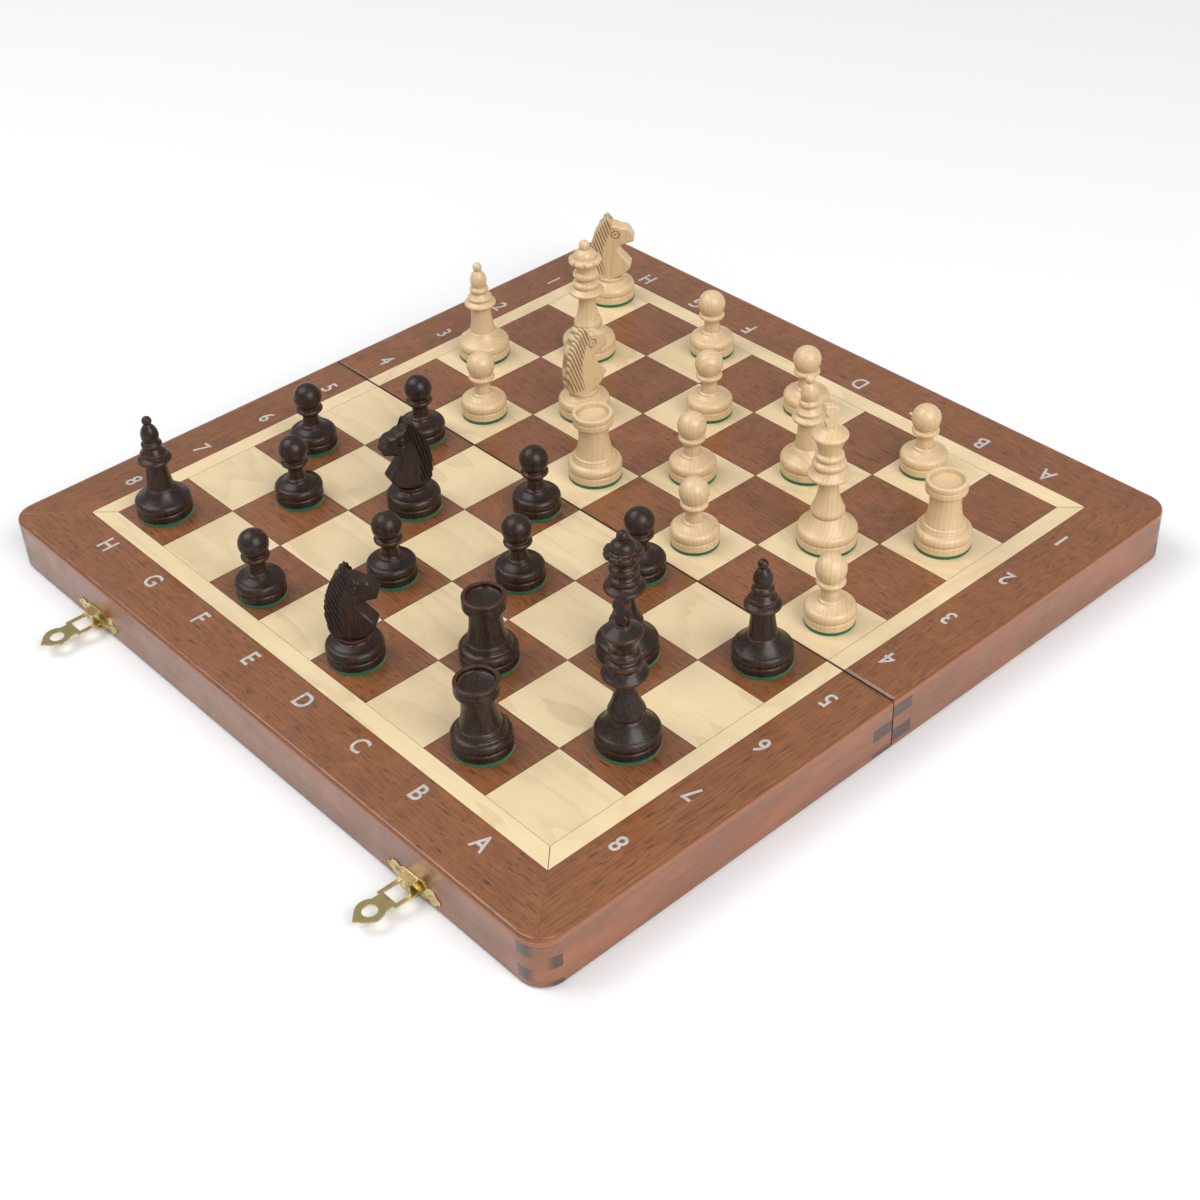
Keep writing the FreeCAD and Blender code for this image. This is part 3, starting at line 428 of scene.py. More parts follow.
def turned_solid(men, kind, base_r, top):
    """Points of a turned man about his own axis, in metres, with each point's edge mark.

    Point (i, j) is the profile's i-th radius at the angle of j, at the profile's height.
    """
    line, edge = turned_line((0, men.felt / MM), STEPS[kind](men, base_r, top), men.softness / MM)
    around = men.segments * (2 if kind == "queen" else 1)
    angle = 2 * math.pi * np.arange(around) / around
    radius, z = line[1:-1, :1], line[1:-1, 1:]
    if kind == "queen":
        radius = radius - coronet_notches(angle[None, :], z, top)
    rings = np.stack([radius * np.cos(angle), radius * np.sin(angle), z + 0 * angle], -1)
    poles = [(0, 0, line[0, 1]), (0, 0, line[-1, 1])]
    points = np.concatenate([rings.reshape(-1, 3), poles])
    marks = np.concatenate([np.repeat(edge[1:-1], around), [edge[0], edge[-1]]])
    quads, tris = tube_faces(len(line) - 2, around)
    return points * MM, quads, tris, marks


# ---------------------------------------------------------------- carved pieces, in millimetres
def squared(wave, power=0.22):
    """A cosine or sine pushed out towards 1 and -1, which makes a circle a rounded square."""
    return np.sign(wave) * np.abs(wave) ** power


def king_finial(top, thick=2.8, wide=4.4, sunk=1.2, slant=0.20, rows=70, around=64):
    """A flat block, waisted by a V on each narrow side, its top slanting.

    Point (i, j): at height i the section is a rounded oblong, its half width following the V
    outline and its half thickness constant, times the squared cosine and sine of angle j.  It is
    tucked in at both ends, and its top few rows drop in proportion to x.
    """
    low = top - FINIAL_HIGH - sunk
    tall = top - low
    share = np.array([0, 0.22, 0.38, 0.52, 0.72, 1.0])
    half = wide * np.array([0.62, 0.74, 1.0, 0.44, 1.0, 0.80])
    t = np.concatenate([[0.0], np.linspace(0, 1, rows), [1.0]])[:, None]
    angle = 2 * math.pi * np.arange(around) / around
    tuck = np.minimum(1, 0.88 + 3 * np.minimum(t, 1 - t))
    tuck[[0, -1]] = 0.6
    x = np.interp(t, share, half) * tuck * squared(np.cos(angle))
    y = thick * tuck * squared(np.sin(angle))
    z = low + tall * t - slant * (x + wide) * t ** 6
    points = np.stack([x, y, z], -1)
    edge = np.clip(1.4 * np.abs(np.sin(2 * angle)) ** 3, 0, 1) + 0 * t
    poles = np.array([[0, 0, low], [0, 0, top - slant * wide]])
    quads, tris = tube_faces(len(t), around)
    marks = np.concatenate([edge.ravel(), [0, 0]])
    return np.concatenate([points.reshape(-1, 3), poles]) * MM, quads, tris, marks


# The horse's head from the side, facing +X.  Each row is one rung across it, from the back of the
# neck (x, z) to its front (x, z), in shares of the head's length and height.
HEAD_RUNGS = np.array([
    (-0.20, 0.01, 0.10, 0.02), (-0.32, 0.02, 0.265, 0.06), (-0.387, 0.08, 0.365, 0.10),
    (-0.42, 0.185, 0.46, 0.17), (-0.43, 0.24, 0.49, 0.228), (-0.435, 0.29, 0.437, 0.28),
    (-0.43, 0.41, 0.28, 0.40), (-0.40, 0.525, 0.20, 0.50), (-0.36, 0.63, 0.22, 0.53),
    (-0.27, 0.78, 0.26, 0.545), (-0.145, 0.915, 0.30, 0.56), (-0.05, 0.995, 0.34, 0.572),
    (0.0, 1.0, 0.36, 0.577), (0.02, 0.905, 0.385, 0.582), (0.085, 0.88, 0.41, 0.587),
    (0.19, 0.877, 0.45, 0.592), (0.255, 0.843, 0.50, 0.60), (0.41, 0.843, 0.56, 0.61),
    (0.475, 0.80, 0.575, 0.65), (0.515, 0.725, 0.55, 0.70)])
HEAD_LONG, HEAD_HIGH, HEAD_THICK, NOSE_THICK = 31.0, 46.3, 11.0, 8.6
# Rungs, counted from the neck: where an eye may start, the first above the throat, the mane's last.
EYE_RUNG, THROAT_RUNG, FORELOCK_RUNG = 4, 7.5, 12.4


def mane_grooves(x, z, back, wall, pitch=2.05, deep=0.9, long=9.8):
    """Depth of the mane's cuts at a place on either side of the head.

    Parallel V cuts, leaning one way on the right and the other way on the left; they are deep near
    the back edge and end a little way forwards.
    """
    lean = np.radians(np.where(wall < 0, 18.0, -12.0))
    across = x * np.cos(lean) + z * np.sin(lean)
    cut = np.clip(1 - np.abs((across / pitch) % 1.0 - 0.5) / 0.32, 0, 1)
    near = np.clip((long - back) / 1.6, 0, 1)
    tall = np.clip((z - 0.05 * HEAD_HIGH) / 3, 0, 1)
    return deep * cut * near * tall


def eye_mark(x, z, ring_r=2.8):
    """Depth of the drilled eye: a ring and a dot in its middle, each a bell curve across."""
    reach = np.hypot(x - 0.161 * HEAD_LONG, z - 0.729 * HEAD_HIGH)
    ring = 0.55 * np.exp(-((reach - ring_r) / 0.42) ** 2)
    return ring + 0.7 * np.exp(-(reach / 0.6) ** 2)


def knight_head(foot_z):
    """The carved head as closed rings round its rungs.

    Along a rung the sides stand off the middle plane by the head's half thickness, which tapers
    to the nose and is chamfered towards both edges; the rims close the ring across the thickness.
    Its edge marks are below 0 where the knife has cut the mane and the eyes.
    """
    rows, side, rim, blur = 250, 104, 9, 9
    u = np.linspace(0, len(HEAD_RUNGS) - 1, rows)
    rungs = np.stack([np.interp(u, np.arange(len(HEAD_RUNGS)), HEAD_RUNGS[:, k]) for k in range(4)], -1)
    padded = np.pad(rungs, ((blur // 2, blur // 2), (0, 0)), mode="edge")
    rungs = np.stack([np.convolve(padded[:, k], np.ones(blur) / blur, "valid") for k in range(4)], -1)
    rungs = rungs * [HEAD_LONG, HEAD_HIGH, HEAD_LONG, HEAD_HIGH]
    back, front = rungs[:, None, :2], rungs[:, None, 2:]
    step = np.linspace(0, 1, side)
    v = np.concatenate([step, np.ones(rim), step[::-1], np.zeros(rim)])[None, :, None]
    lay = np.linspace(1, -1, rim + 2)[1:-1]
    wall = np.concatenate([np.ones(side), lay, -np.ones(side), -lay])[None, :]
    flat = front + (back - front) * v
    x, z = flat[..., 0], flat[..., 1]
    long = np.linalg.norm(back - front, axis=-1)
    to_front, to_back = v[..., 0] * long, (1 - v[..., 0]) * long
    nose = np.clip((x / HEAD_LONG - 0.20) / 0.36, 0, 1) * (z > 0.45 * HEAD_HIGH)
    nape = np.clip((-x / HEAD_LONG - 0.25) / 0.20, 0, 1)
    chest = np.clip(1 - z / (0.45 * HEAD_HIGH), 0, 1)
    half = HEAD_THICK / 2 - nose * (HEAD_THICK - NOSE_THICK) / 2 - nape * 0.8 + chest * 0.5
    chamfer_front = np.clip(1.4 - to_front, 0, None) * np.where(u[:, None] > THROAT_RUNG, 0.4, 0.9)
    chamfer_back = np.clip(1.5 - to_back, 0, None) * 0.85
    y = wall * (half - chamfer_front - chamfer_back)
    on_side = np.abs(wall) > 0.999
    cuts = mane_grooves(x, z, to_back, wall) * (u[:, None] < FORELOCK_RUNG)
    eyes = eye_mark(x, z) * (u[:, None] > EYE_RUNG)
    y = y - np.sign(wall) * on_side * (cuts + eyes)
    inward = (front - back) / np.maximum(long, 1e-6)[..., None]
    pull = (cuts * (to_back < 0.6))[..., None] * inward
    x, z = x + pull[..., 0], z + pull[..., 1]
    points = np.stack([x, y, z + foot_z], -1)
    ends = points[[0, -1]].mean(1)
    near_edge = np.exp(-(np.minimum(to_front, to_back) / 0.8) ** 2)
    carved = np.clip(1.6 * cuts + 2.0 * eyes, 0, 1)
    edge = 0.45 * near_edge - 2 * np.where(carved > 0.15, carved, 0)
    quads, tris = tube_faces(rows, v.shape[1])
    return (np.concatenate([points.reshape(-1, 3), ends]) * MM, quads[:, ::-1], tris[:, ::-1],
            np.concatenate([edge.ravel(), [0, 0]]))


def joined(*shapes):
    """Several closed shapes as one set of points and faces."""
    points, quads, tris, marks = [], [], [], []
    count = 0
    for p, q, t, m in shapes:
        points.append(p)
        quads.append(q + count)
        tris.append(t + count)
        marks.append(m)
        count += len(p)
    return tuple(np.concatenate(part) for part in (points, quads, tris, marks))


# ---------------------------------------------------------------- shader graphs
def put(tree, kind, inputs=None, **settings):
    """A node with its settings and inputs; an input is a value or another node's output."""
    node = tree.nodes.new(kind)
    for key, value in settings.items():
        setattr(node, key, value)
    for key, value in (inputs or {}).items():
        if isinstance(value, bpy.types.NodeSocket):
            tree.links.new(value, node.inputs[key])
        else:
            node.inputs[key].default_value = value
    return node


def maths(tree, operation, a, b=0.0, clamp=False):
    """One step of arithmetic on two values or outputs."""
    return put(tree, "ShaderNodeMath", {0: a, 1: b}, operation=operation, use_clamp=clamp).outputs[0]


def times(tree, a, b):
    """Two values or outputs multiplied."""
    return maths(tree, "MULTIPLY", a, b)


def ramp(tree, value, low, high, to_low=0.0, to_high=1.0):
    """The value carried smoothly from the range low..high to to_low..to_high."""
    node = put(tree, "ShaderNodeMapRange", {"Value": value, "From Min": low, "From Max": high,
                                           "To Min": to_low, "To Max": to_high},
               interpolation_type="SMOOTHSTEP")
    return node.outputs[0]


def blend(tree, share, a, b):
    """Colour a turned into colour b by the share."""
    node = put(tree, "ShaderNodeMix", data_type="RGBA")
    for socket, value in ((node.inputs[0], share), (node.inputs[6], a), (node.inputs[7], b)):
        if isinstance(value, bpy.types.NodeSocket):
            tree.links.new(value, socket)
        elif hasattr(value, "__len__"):
            socket.default_value = (*value[:3], 1.0)
        else:
            socket.default_value = value
    return node.outputs[2]


def stretched(tree, vector, across, along):
    """The coordinates with X and Y times across, and Z, the fibre, times along."""
    return put(tree, "ShaderNodeVectorMath", {0: vector, 1: (across, across, along)},
               operation="MULTIPLY").outputs[0]


def noise(tree, vector, scale, detail=3.0, rough=0.55):
    """Cloudy noise between 0 and 1; scale counts its clouds in a metre."""
    return put(tree, "ShaderNodeTexNoise", {"Vector": vector, "Scale": scale, "Detail": detail,
                                            "Roughness": rough}).outputs["Fac"]


def new_group(name, inputs, outputs):
    """An empty node group, its input node and its output node."""
    tree = bpy.data.node_groups.new(name, "ShaderNodeTree")
    for label, kind in inputs:
        tree.interface.new_socket(label, in_out="INPUT", socket_type=kind)
    for label, kind in outputs:
        tree.interface.new_socket(label, in_out="OUTPUT", socket_type=kind)
    return tree, tree.nodes.new("NodeGroupInput"), tree.nodes.new("NodeGroupOutput")


VECTOR, NUMBER = "NodeSocketVector", "NodeSocketFloat"


def growth_group():
    """Wood as it grew: year rings round the pith, fine fibre along it, and open pores.

    A ring's mask rises slowly to its late wood and drops at once; each year has its own strength.
    """
    tree, given, made = new_group(
        "Growth", [("Log", VECTOR), ("Ring Width", NUMBER), ("Wander", NUMBER), ("Grain", NUMBER)],
        [("Rings", NUMBER), ("Fibre", NUMBER), ("Pores", NUMBER), ("Figure", NUMBER)])
    log = given.outputs["Log"]
    flat = put(tree, "ShaderNodeVectorMath", {0: log, 1: (1, 1, 0)}, operation="MULTIPLY").outputs[0]
    away = put(tree, "ShaderNodeVectorMath", {0: flat}, operation="LENGTH").outputs["Value"]
    drift = maths(tree, "SUBTRACT", noise(tree, stretched(tree, log, 1.0, 0.22), 42.0, 2.0), 0.5)
    away = maths(tree, "ADD", away, times(tree, drift, given.outputs["Wander"]))
    years = maths(tree, "DIVIDE", away, given.outputs["Ring Width"])
    year = maths(tree, "FLOOR", years)
    part = maths(tree, "FRACT", years)
    strength = put(tree, "ShaderNodeTexWhiteNoise", {"W": year}, noise_dimensions="1D").outputs[0]
    rise = ramp(tree, part, 0.35, 0.93)
    drop = ramp(tree, part, 0.94, 1.0, 1.0, 0.0)
    late = times(tree, times(tree, rise, drop), ramp(tree, strength, 0.0, 1.0, 0.25, 1.0))
    tree.links.new(late, made.inputs["Rings"])
    fibre = noise(tree, stretched(tree, log, 1.0, 0.035), given.outputs["Grain"], 3.0, 0.7)
    tree.links.new(ramp(tree, fibre, 0.3, 0.7), made.inputs["Fibre"])
    pore = noise(tree, stretched(tree, log, 1.9, 0.10), given.outputs["Grain"], 1.0, 0.4)
    tree.links.new(ramp(tree, pore, 0.60, 0.70), made.inputs["Pores"])
    figure = noise(tree, stretched(tree, log, 0.35, 1.0), 95.0, 2.0)
    tree.links.new(ramp(tree, figure, 0.25, 0.75), made.inputs["Figure"])


def wear_group():
    """Where hands rub a piece and where the surface lies sunk in a groove: edges and grooves broken up by
    noise.
    """
    tree, given, made = new_group(
        "Wear", [("Edge", NUMBER), ("Place", VECTOR), ("Amount", NUMBER)],
        [("Worn", NUMBER), ("Sunk", NUMBER), ("Handled", NUMBER)])
    patchy = noise(tree, given.outputs["Place"], 260.0, 4.0, 0.65)
    lift = maths(tree, "ADD", given.outputs["Edge"], maths(tree, "SUBTRACT", patchy, 0.5))
    worn = times(tree, ramp(tree, lift, 0.30, 0.85), given.outputs["Amount"])
    tree.links.new(worn, made.inputs["Worn"])
    sunk = ramp(tree, times(tree, given.outputs["Edge"], -1.0), 0.12, 0.75)
    tree.links.new(sunk, made.inputs["Sunk"])
    tree.links.new(ramp(tree, noise(tree, given.outputs["Place"], 70.0, 3.0), 0.3, 0.7),
                   made.inputs["Handled"])


def group(tree, name, inputs):
    """One of the shared groups, with its inputs by name."""
    node = tree.nodes.new("ShaderNodeGroup")
    node.node_tree = bpy.data.node_groups[name]
    for key, value in inputs.items():
        if isinstance(value, bpy.types.NodeSocket):
            tree.links.new(value, node.inputs[key])
        else:
            node.inputs[key].default_value = value
    return node.outputs


def new_finish(name):
    """A new material's nodes, its Principled shader and its object coordinates."""
    finish = bpy.data.materials.new(name)
    finish.use_nodes = True
    tree = finish.node_tree
    return tree, tree.nodes["Principled BSDF"], tree.nodes.new("ShaderNodeTexCoord").outputs["Object"]


def lacquer(shader, weight, rough):
    """The clear coat over a finish."""
    shader.inputs["Coat Weight"].default_value = weight
    shader.inputs["Coat Roughness"].default_value = rough


def mark(tree, name, output="Fac"):
    """A mark that was kept on the piece's points."""
    return put(tree, "ShaderNodeAttribute", attribute_name=name).outputs[output]


def connect(tree, shader, base, rough, height, depth):
    """Base colour, roughness and a bump of that depth in metres."""
    tree.links.new(base, shader.inputs["Base Color"])
    tree.links.new(rough, shader.inputs["Roughness"])
    bump = put(tree, "ShaderNodeBump", {"Height": height, "Distance": depth, "Strength": 1.0})
    tree.links.new(bump.outputs[0], shader.inputs["Normal"])


def over(tree, base, mask, share, rgb):
    """The base with a colour laid over it where the mask is, that share of it at the most."""
    return blend(tree, times(tree, mask, share), base, rgb)


def tinted(rgb, factor, warm=1.0):
    """A colour made lighter or darker, and redder by warm."""
    return tuple(min(1.0, c * factor * w) for c, w in zip(rgb, (warm, 1.0, 1.0 / warm)))


def light_man_wood(colours, men):
    """Pale wood under lacquer: growth lines, fibre, painted shade in the turned grooves and the carved
    cuts, rubbed edges.
    """
    tree, shader, place = new_finish("light_man_wood")
    rgb = tuple(colours.light_man)
    wood = group(tree, "Growth", {"Log": mark(tree, "log", "Vector"), "Ring Width": men.ring_width,
                                  "Wander": 6 * MM, "Grain": 1900.0})
    wear = group(tree, "Wear", {"Edge": mark(tree, "edge"), "Place": place, "Amount": 0.6})
    base = over(tree, rgb, wood["Rings"], 0.55, tinted(rgb, 0.70, 1.08))
    base = over(tree, base, wood["Fibre"], 0.30, tinted(rgb, 0.80, 1.04))
    base = over(tree, base, wood["Figure"], 0.22, tinted(rgb, 1.16, 0.99))
    # Painted shade: darker and redder wherever the turned profile is sunk in a groove.
    base = over(tree, base, wear["Sunk"], 0.40, tinted(rgb, 0.50, 1.12))
    # Painted shade: much darker in the carved mane cuts and the eyes.
    base = over(tree, base, mark(tree, "carved"), 0.6, tinted(rgb, 0.22, 1.15))
    base = over(tree, base, wear["Worn"], 0.30, tinted(rgb, 1.22, 0.98))
    rough = ramp(tree, wear["Handled"], 0, 1, 0.34, 0.46)
    height = maths(tree, "ADD", times(tree, wood["Fibre"], 0.5), wood["Rings"])
    connect(tree, shader, base, rough, height, 0.04 * MM)
    lacquer(shader, 0.35, 0.22)


def dark_man_wood(colours, men):
    """Stained wood: streaks, cutter marks, brown where the stain is thin on edges and in grooves, and
    painted shade in the carved cuts.
    """
    tree, shader, place = new_finish("dark_man_wood")
    rgb, worn_rgb = tuple(colours.dark_man), tuple(colours.dark_man_worn)
    log = mark(tree, "log", "Vector")
    wood = group(tree, "Growth", {"Log": log, "Ring Width": men.ring_width, "Wander": 6 * MM,
                                  "Grain": 1600.0})
    wear = group(tree, "Wear", {"Edge": mark(tree, "edge"), "Place": place, "Amount": 0.5})
    streak = ramp(tree, noise(tree, stretched(tree, log, 1.0, 0.06), 800.0, 4.0), 0.40, 0.75)
    base = over(tree, rgb, streak, 0.55, tinted(worn_rgb, 0.34))
    base = over(tree, base, wood["Rings"], 0.5, tinted(rgb, 0.45))
    carved = mark(tree, "carved")
    turned = maths(tree, "SUBTRACT", wear["Sunk"], times(tree, carved, 4.0), clamp=True)
    thin = times(tree, turned, ramp(tree, noise(tree, place, 330.0, 3.0), 0.42, 0.62))
    base = over(tree, base, thin, 0.60, tinted(worn_rgb, 0.8))
    base = over(tree, base, wear["Worn"], 0.40, tinted(worn_rgb, 0.7))
    # Painted shade: darker in the carved mane cuts and the eyes.
    base = over(tree, base, carved, 0.8, tinted(rgb, 0.25))
    rough = ramp(tree, wear["Handled"], 0, 1, 0.36, 0.52)
    tool = noise(tree, stretched(tree, place, 0.12, 1.0), 1500.0, 3.0, 0.7)
    height = maths(tree, "ADD", times(tree, wood["Pores"], -1.0), tool)
    connect(tree, shader, base, rough, height, 0.22 * MM)
    shader.inputs["Specular IOR Level"].default_value = 0.28
    lacquer(shader, 0.32, 0.24)


def joint_lines(tree, place, base, rgb, strength):
    """Darkens a veneer's glue line, kept as a mark on its points, and the fold's wider seam."""
    glue = ramp(tree, mark(tree, "edge"), 0.2, 0.7)
    y = put(tree, "ShaderNodeSeparateXYZ", {0: place}).outputs["Y"]
    seam = ramp(tree, maths(tree, "ABSOLUTE", y), FOLD_Y + 0.1 * MM, FOLD_Y + 0.6 * MM, 1.0, 0.0)
    dark = maths(tree, "MAXIMUM", glue, seam)
    return over(tree, base, dark, strength, rgb)


def maple_veneer(colours):
    """Pale veneer: each leaf with its own tone and figure, a small knot here and there."""
    tree, shader, place = new_finish("maple_leaf")
    rgb = tuple(colours.maple)
    tone = mark(tree, "tone")
    wood = group(tree, "Growth", {"Log": mark(tree, "log", "Vector"), "Ring Width": 4.2 * MM,
                                  "Wander": 14 * MM, "Grain": 1100.0})
    base = blend(tree, tone, tinted(rgb, 0.93, 1.01), tinted(rgb, 1.07))
    base = over(tree, base, wood["Rings"], 0.55, tinted(rgb, 0.72, 1.06))
    base = over(tree, base, wood["Fibre"], 0.35, tinted(rgb, 0.80, 1.02))
    base = over(tree, base, wood["Figure"], 0.16, tinted(rgb, 1.15))
    knots = put(tree, "ShaderNodeTexVoronoi", {"Vector": place, "Scale": 21.0}).outputs["Distance"]
    knot = times(tree, ramp(tree, knots, 0.0, 0.045, 1.0, 0.0), ramp(tree, tone, 0.72, 0.8))
    base = over(tree, base, knot, 0.65, tinted(rgb, 0.35, 1.2))
    base = joint_lines(tree, place, base, tinted(rgb, 0.14, 1.2), 0.9)
    rough = ramp(tree, noise(tree, place, 30.0, 3.0), 0.3, 0.7, 0.26, 0.34)
    height = times(tree, wood["Fibre"], 0.6)
    connect(tree, shader, base, rough, height, 0.01 * MM)
    lacquer(shader, 0.25, 0.12)


def mahogany_veneer(colours):
    """Dark veneer: open pores and strong fibre, each leaf with its own tone."""
    tree, shader, place = new_finish("mahogany_leaf")
    rgb = tuple(colours.mahogany)
    tone = mark(tree, "tone")
    wood = group(tree, "Growth", {"Log": mark(tree, "log", "Vector"), "Ring Width": 6 * MM,
                                  "Wander": 16 * MM, "Grain": 900.0})
    base = blend(tree, tone, tinted(rgb, 0.84, 1.02), tinted(rgb, 1.16))
    base = over(tree, base, wood["Rings"], 0.35, tinted(rgb, 0.66))
    base = over(tree, base, wood["Fibre"], 0.80, tinted(rgb, 0.52))
    base = over(tree, base, wood["Figure"], 0.30, tinted(rgb, 1.30))
    base = over(tree, base, wood["Pores"], 0.8, tinted(rgb, 0.22))
    base = joint_lines(tree, place, base, tinted(rgb, 0.12), 0.9)
    rough = ramp(tree, noise(tree, place, 30.0, 3.0), 0.3, 0.7, 0.30, 0.38)
    height = maths(tree, "ADD", times(tree, wood["Fibre"], 0.5), times(tree, wood["Pores"], -1.4))
    connect(tree, shader, base, rough, height, 0.02 * MM)
    lacquer(shader, 0.45, 0.20)


def rail_wood(colours, along_x):
    """Stained beech: side grain along the rail, end grain dark where the stain soaked in."""
    tree, shader, place = new_finish("rail_wood_x" if along_x else "rail_wood_y")
    rgb, end_rgb = tuple(colours.rail), tuple(colours.rail_end_grain)
    turn = (0, math.radians(90), 0) if along_x else (math.radians(90), 0, 0)
    log = put(tree, "ShaderNodeMapping", {"Vector": place, "Rotation": turn,
                                          "Location": (0.08, 0.11, 0.0)}).outputs[0]
    wood = group(tree, "Growth", {"Log": log, "Ring Width": 5 * MM, "Wander": 10 * MM,
                                  "Grain": 1000.0})
    wear = group(tree, "Wear", {"Place": place})
    base = over(tree, rgb, wood["Rings"], 0.45, tinted(rgb, 0.60))
    base = over(tree, base, wood["Fibre"], 0.65, tinted(rgb, 0.60))
    cloudy = ramp(tree, noise(tree, stretched(tree, log, 1.0, 0.25), 55.0, 3.0), 0.40, 0.72)
    base = over(tree, base, cloudy, 0.45, tinted(rgb, 1.55, 1.12))
    end_grain = ramp(tree, mark(tree, "across" if along_x else "along"), 0.80, 0.97)
    base = blend(tree, end_grain, base, end_rgb)
    speck = ramp(tree, noise(tree, place, 1400.0, 2.0), 0.5, 0.7)
    base = over(tree, base, times(tree, end_grain, speck), 0.5, tinted(end_rgb, 2.2))
    rough = ramp(tree, wear["Handled"], 0, 1, 0.30, 0.42)
    height = maths(tree, "ADD", wood["Fibre"], times(tree, wood["Pores"], -0.6))
    connect(tree, shader, base, rough, height, 0.03 * MM)
    lacquer(shader, 0.5, 0.22)


def panel_edge(colours):
    """Plywood's edge: thin light and dark plies one over another, stained with the rails."""
    tree, shader, place = new_finish("panel_edge")
    rgb = tuple(colours.rail)
    high = put(tree, "ShaderNodeSeparateXYZ", {0: place}).outputs["Z"]
    wavy = times(tree, maths(tree, "SUBTRACT", noise(tree, place, 60.0, 2.0), 0.5), 0.4 * MM)
    ply = maths(tree, "FRACT", maths(tree, "DIVIDE", maths(tree, "ADD", high, wavy), 1.7 * MM))
    base = blend(tree, ramp(tree, ply, 0.42, 0.58), tinted(rgb, 0.9), tinted(rgb, 1.5, 1.1))
    grit = noise(tree, place, 900.0, 3.0)
    base = over(tree, base, ramp(tree, grit, 0.4, 0.7), 0.4, tinted(rgb, 0.5))
    rough = ramp(tree, grit, 0.3, 0.7, 0.36, 0.48)
    connect(tree, shader, base, rough, grit, 0.04 * MM)
    lacquer(shader, 0.4, 0.25)


def stamped_brass(colours):
    """Thin brass: cloudy tarnish and fine scratches."""
    tree, shader, place = new_finish("stamped_brass")
    rgb = tuple(colours.brass)
    stain = ramp(tree, noise(tree, place, 180.0, 4.0), 0.42, 0.72)
    base = over(tree, rgb, stain, 0.7, tinted(rgb, 0.38, 0.97))
    scratch = noise(tree, stretched(tree, place, 1.0, 0.08), 1800.0, 2.0)
    rough = ramp(tree, stain, 0, 1, 0.24, 0.42)
    connect(tree, shader, base, rough, scratch, 0.012 * MM)
    shader.inputs["Metallic"].default_value = 1.0


def green_felt(colours):
    """Felt: short fluff with lighter lumps."""
    tree, shader, place = new_finish("felt_cloth")
    rgb = tuple(colours.felt)
    fluff = noise(tree, place, 2600.0, 4.0, 0.7)
    lump = noise(tree, place, 420.0, 2.0)
    base = blend(tree, ramp(tree, fluff, 0.35, 0.7), tinted(rgb, 0.55), tinted(rgb, 1.35))
    base = over(tree, base, ramp(tree, lump, 0.4, 0.7), 0.35, tinted(rgb, 1.7))
    rough = ramp(tree, fluff, 0.3, 0.7, 0.88, 1.0)
    connect(tree, shader, base, rough, fluff, 0.25 * MM)
    shader.inputs["Sheen Weight"].default_value = 0.3
    shader.inputs["Sheen Roughness"].default_value = 0.5


def printed_ink(colours):
    """Thin print: the dark veneer shows through in specks."""
    tree, shader, place = new_finish("printed_ink")
    rgb = tuple(colours.print_ink)
    speck = ramp(tree, noise(tree, place, 2400.0, 3.0, 0.6), 0.52, 0.66)
    soft = noise(tree, place, 300.0, 2.0)
    base = blend(tree, ramp(tree, soft, 0.3, 0.7), tinted(rgb, 0.85), tinted(rgb, 1.08))
    base = over(tree, base, speck, 0.55, tinted(colours.mahogany, 1.6))
    rough = ramp(tree, soft, 0.3, 0.7, 0.38, 0.5)
    connect(tree, shader, base, rough, speck, 0.01 * MM)
    shader.inputs["Coat Weight"].default_value = 0.3


def make_finishes(scene):
    """Every shared group and material, by the name that the pieces ask for."""
    growth_group()
    wear_group()
    colours, men = scene.chess_finish, scene.chess_men
    light_man_wood(colours, men)
    dark_man_wood(colours, men)
    maple_veneer(colours)
    mahogany_veneer(colours)
    rail_wood(colours, True)
    rail_wood(colours, False)
    panel_edge(colours)
    stamped_brass(colours)
    green_felt(colours)
    printed_ink(colours)


# ---------------------------------------------------------------- the men
def felt_disc(men, base_r, seed):
    """A felt disc with a slightly furry edge: rings whose radius wavers with the angle."""
    around = 120
    angle = 2 * math.pi * np.arange(around) / around
    waver = 0.05 * seed.standard_normal(around)
    felt, inset = men.felt / MM, men.felt_inset / MM
    outline = [(base_r * 0.6, 0.02), (base_r - inset - 0.12, 0.02), (base_r - inset, 0.2),
               (base_r - inset + 0.04, felt * 0.5), (base_r - inset, felt * 0.8),
               (base_r - inset - 0.1, felt), (base_r * 0.6, felt)]
    rings = [np.stack([(r + waver * (r > base_r * 0.7)) * np.cos(angle),
                       (r + waver * (r > base_r * 0.7)) * np.sin(angle), z + 0 * angle], -1)
             for r, z in outline]
    poles = [(0, 0, 0.02), (0, 0, felt)]
    quads, tris = tube_faces(len(outline), around)
    return np.concatenate(rings + [poles]) * MM, quads, tris


def standing_place(node):
    """Where a frame man stands, on his axis, and his base's radius in millimetres."""
    points = points_of(frame["nodes"][node].data)
    foot = points[points[:, 2] < points[:, 2].min() + 8 * MM]
    low, high = foot.min(0), foot.max(0)
    return np.array([*(low[:2] + high[:2]) / 2, low[2]], float), (high[0] - low[0]) / 2 / MM


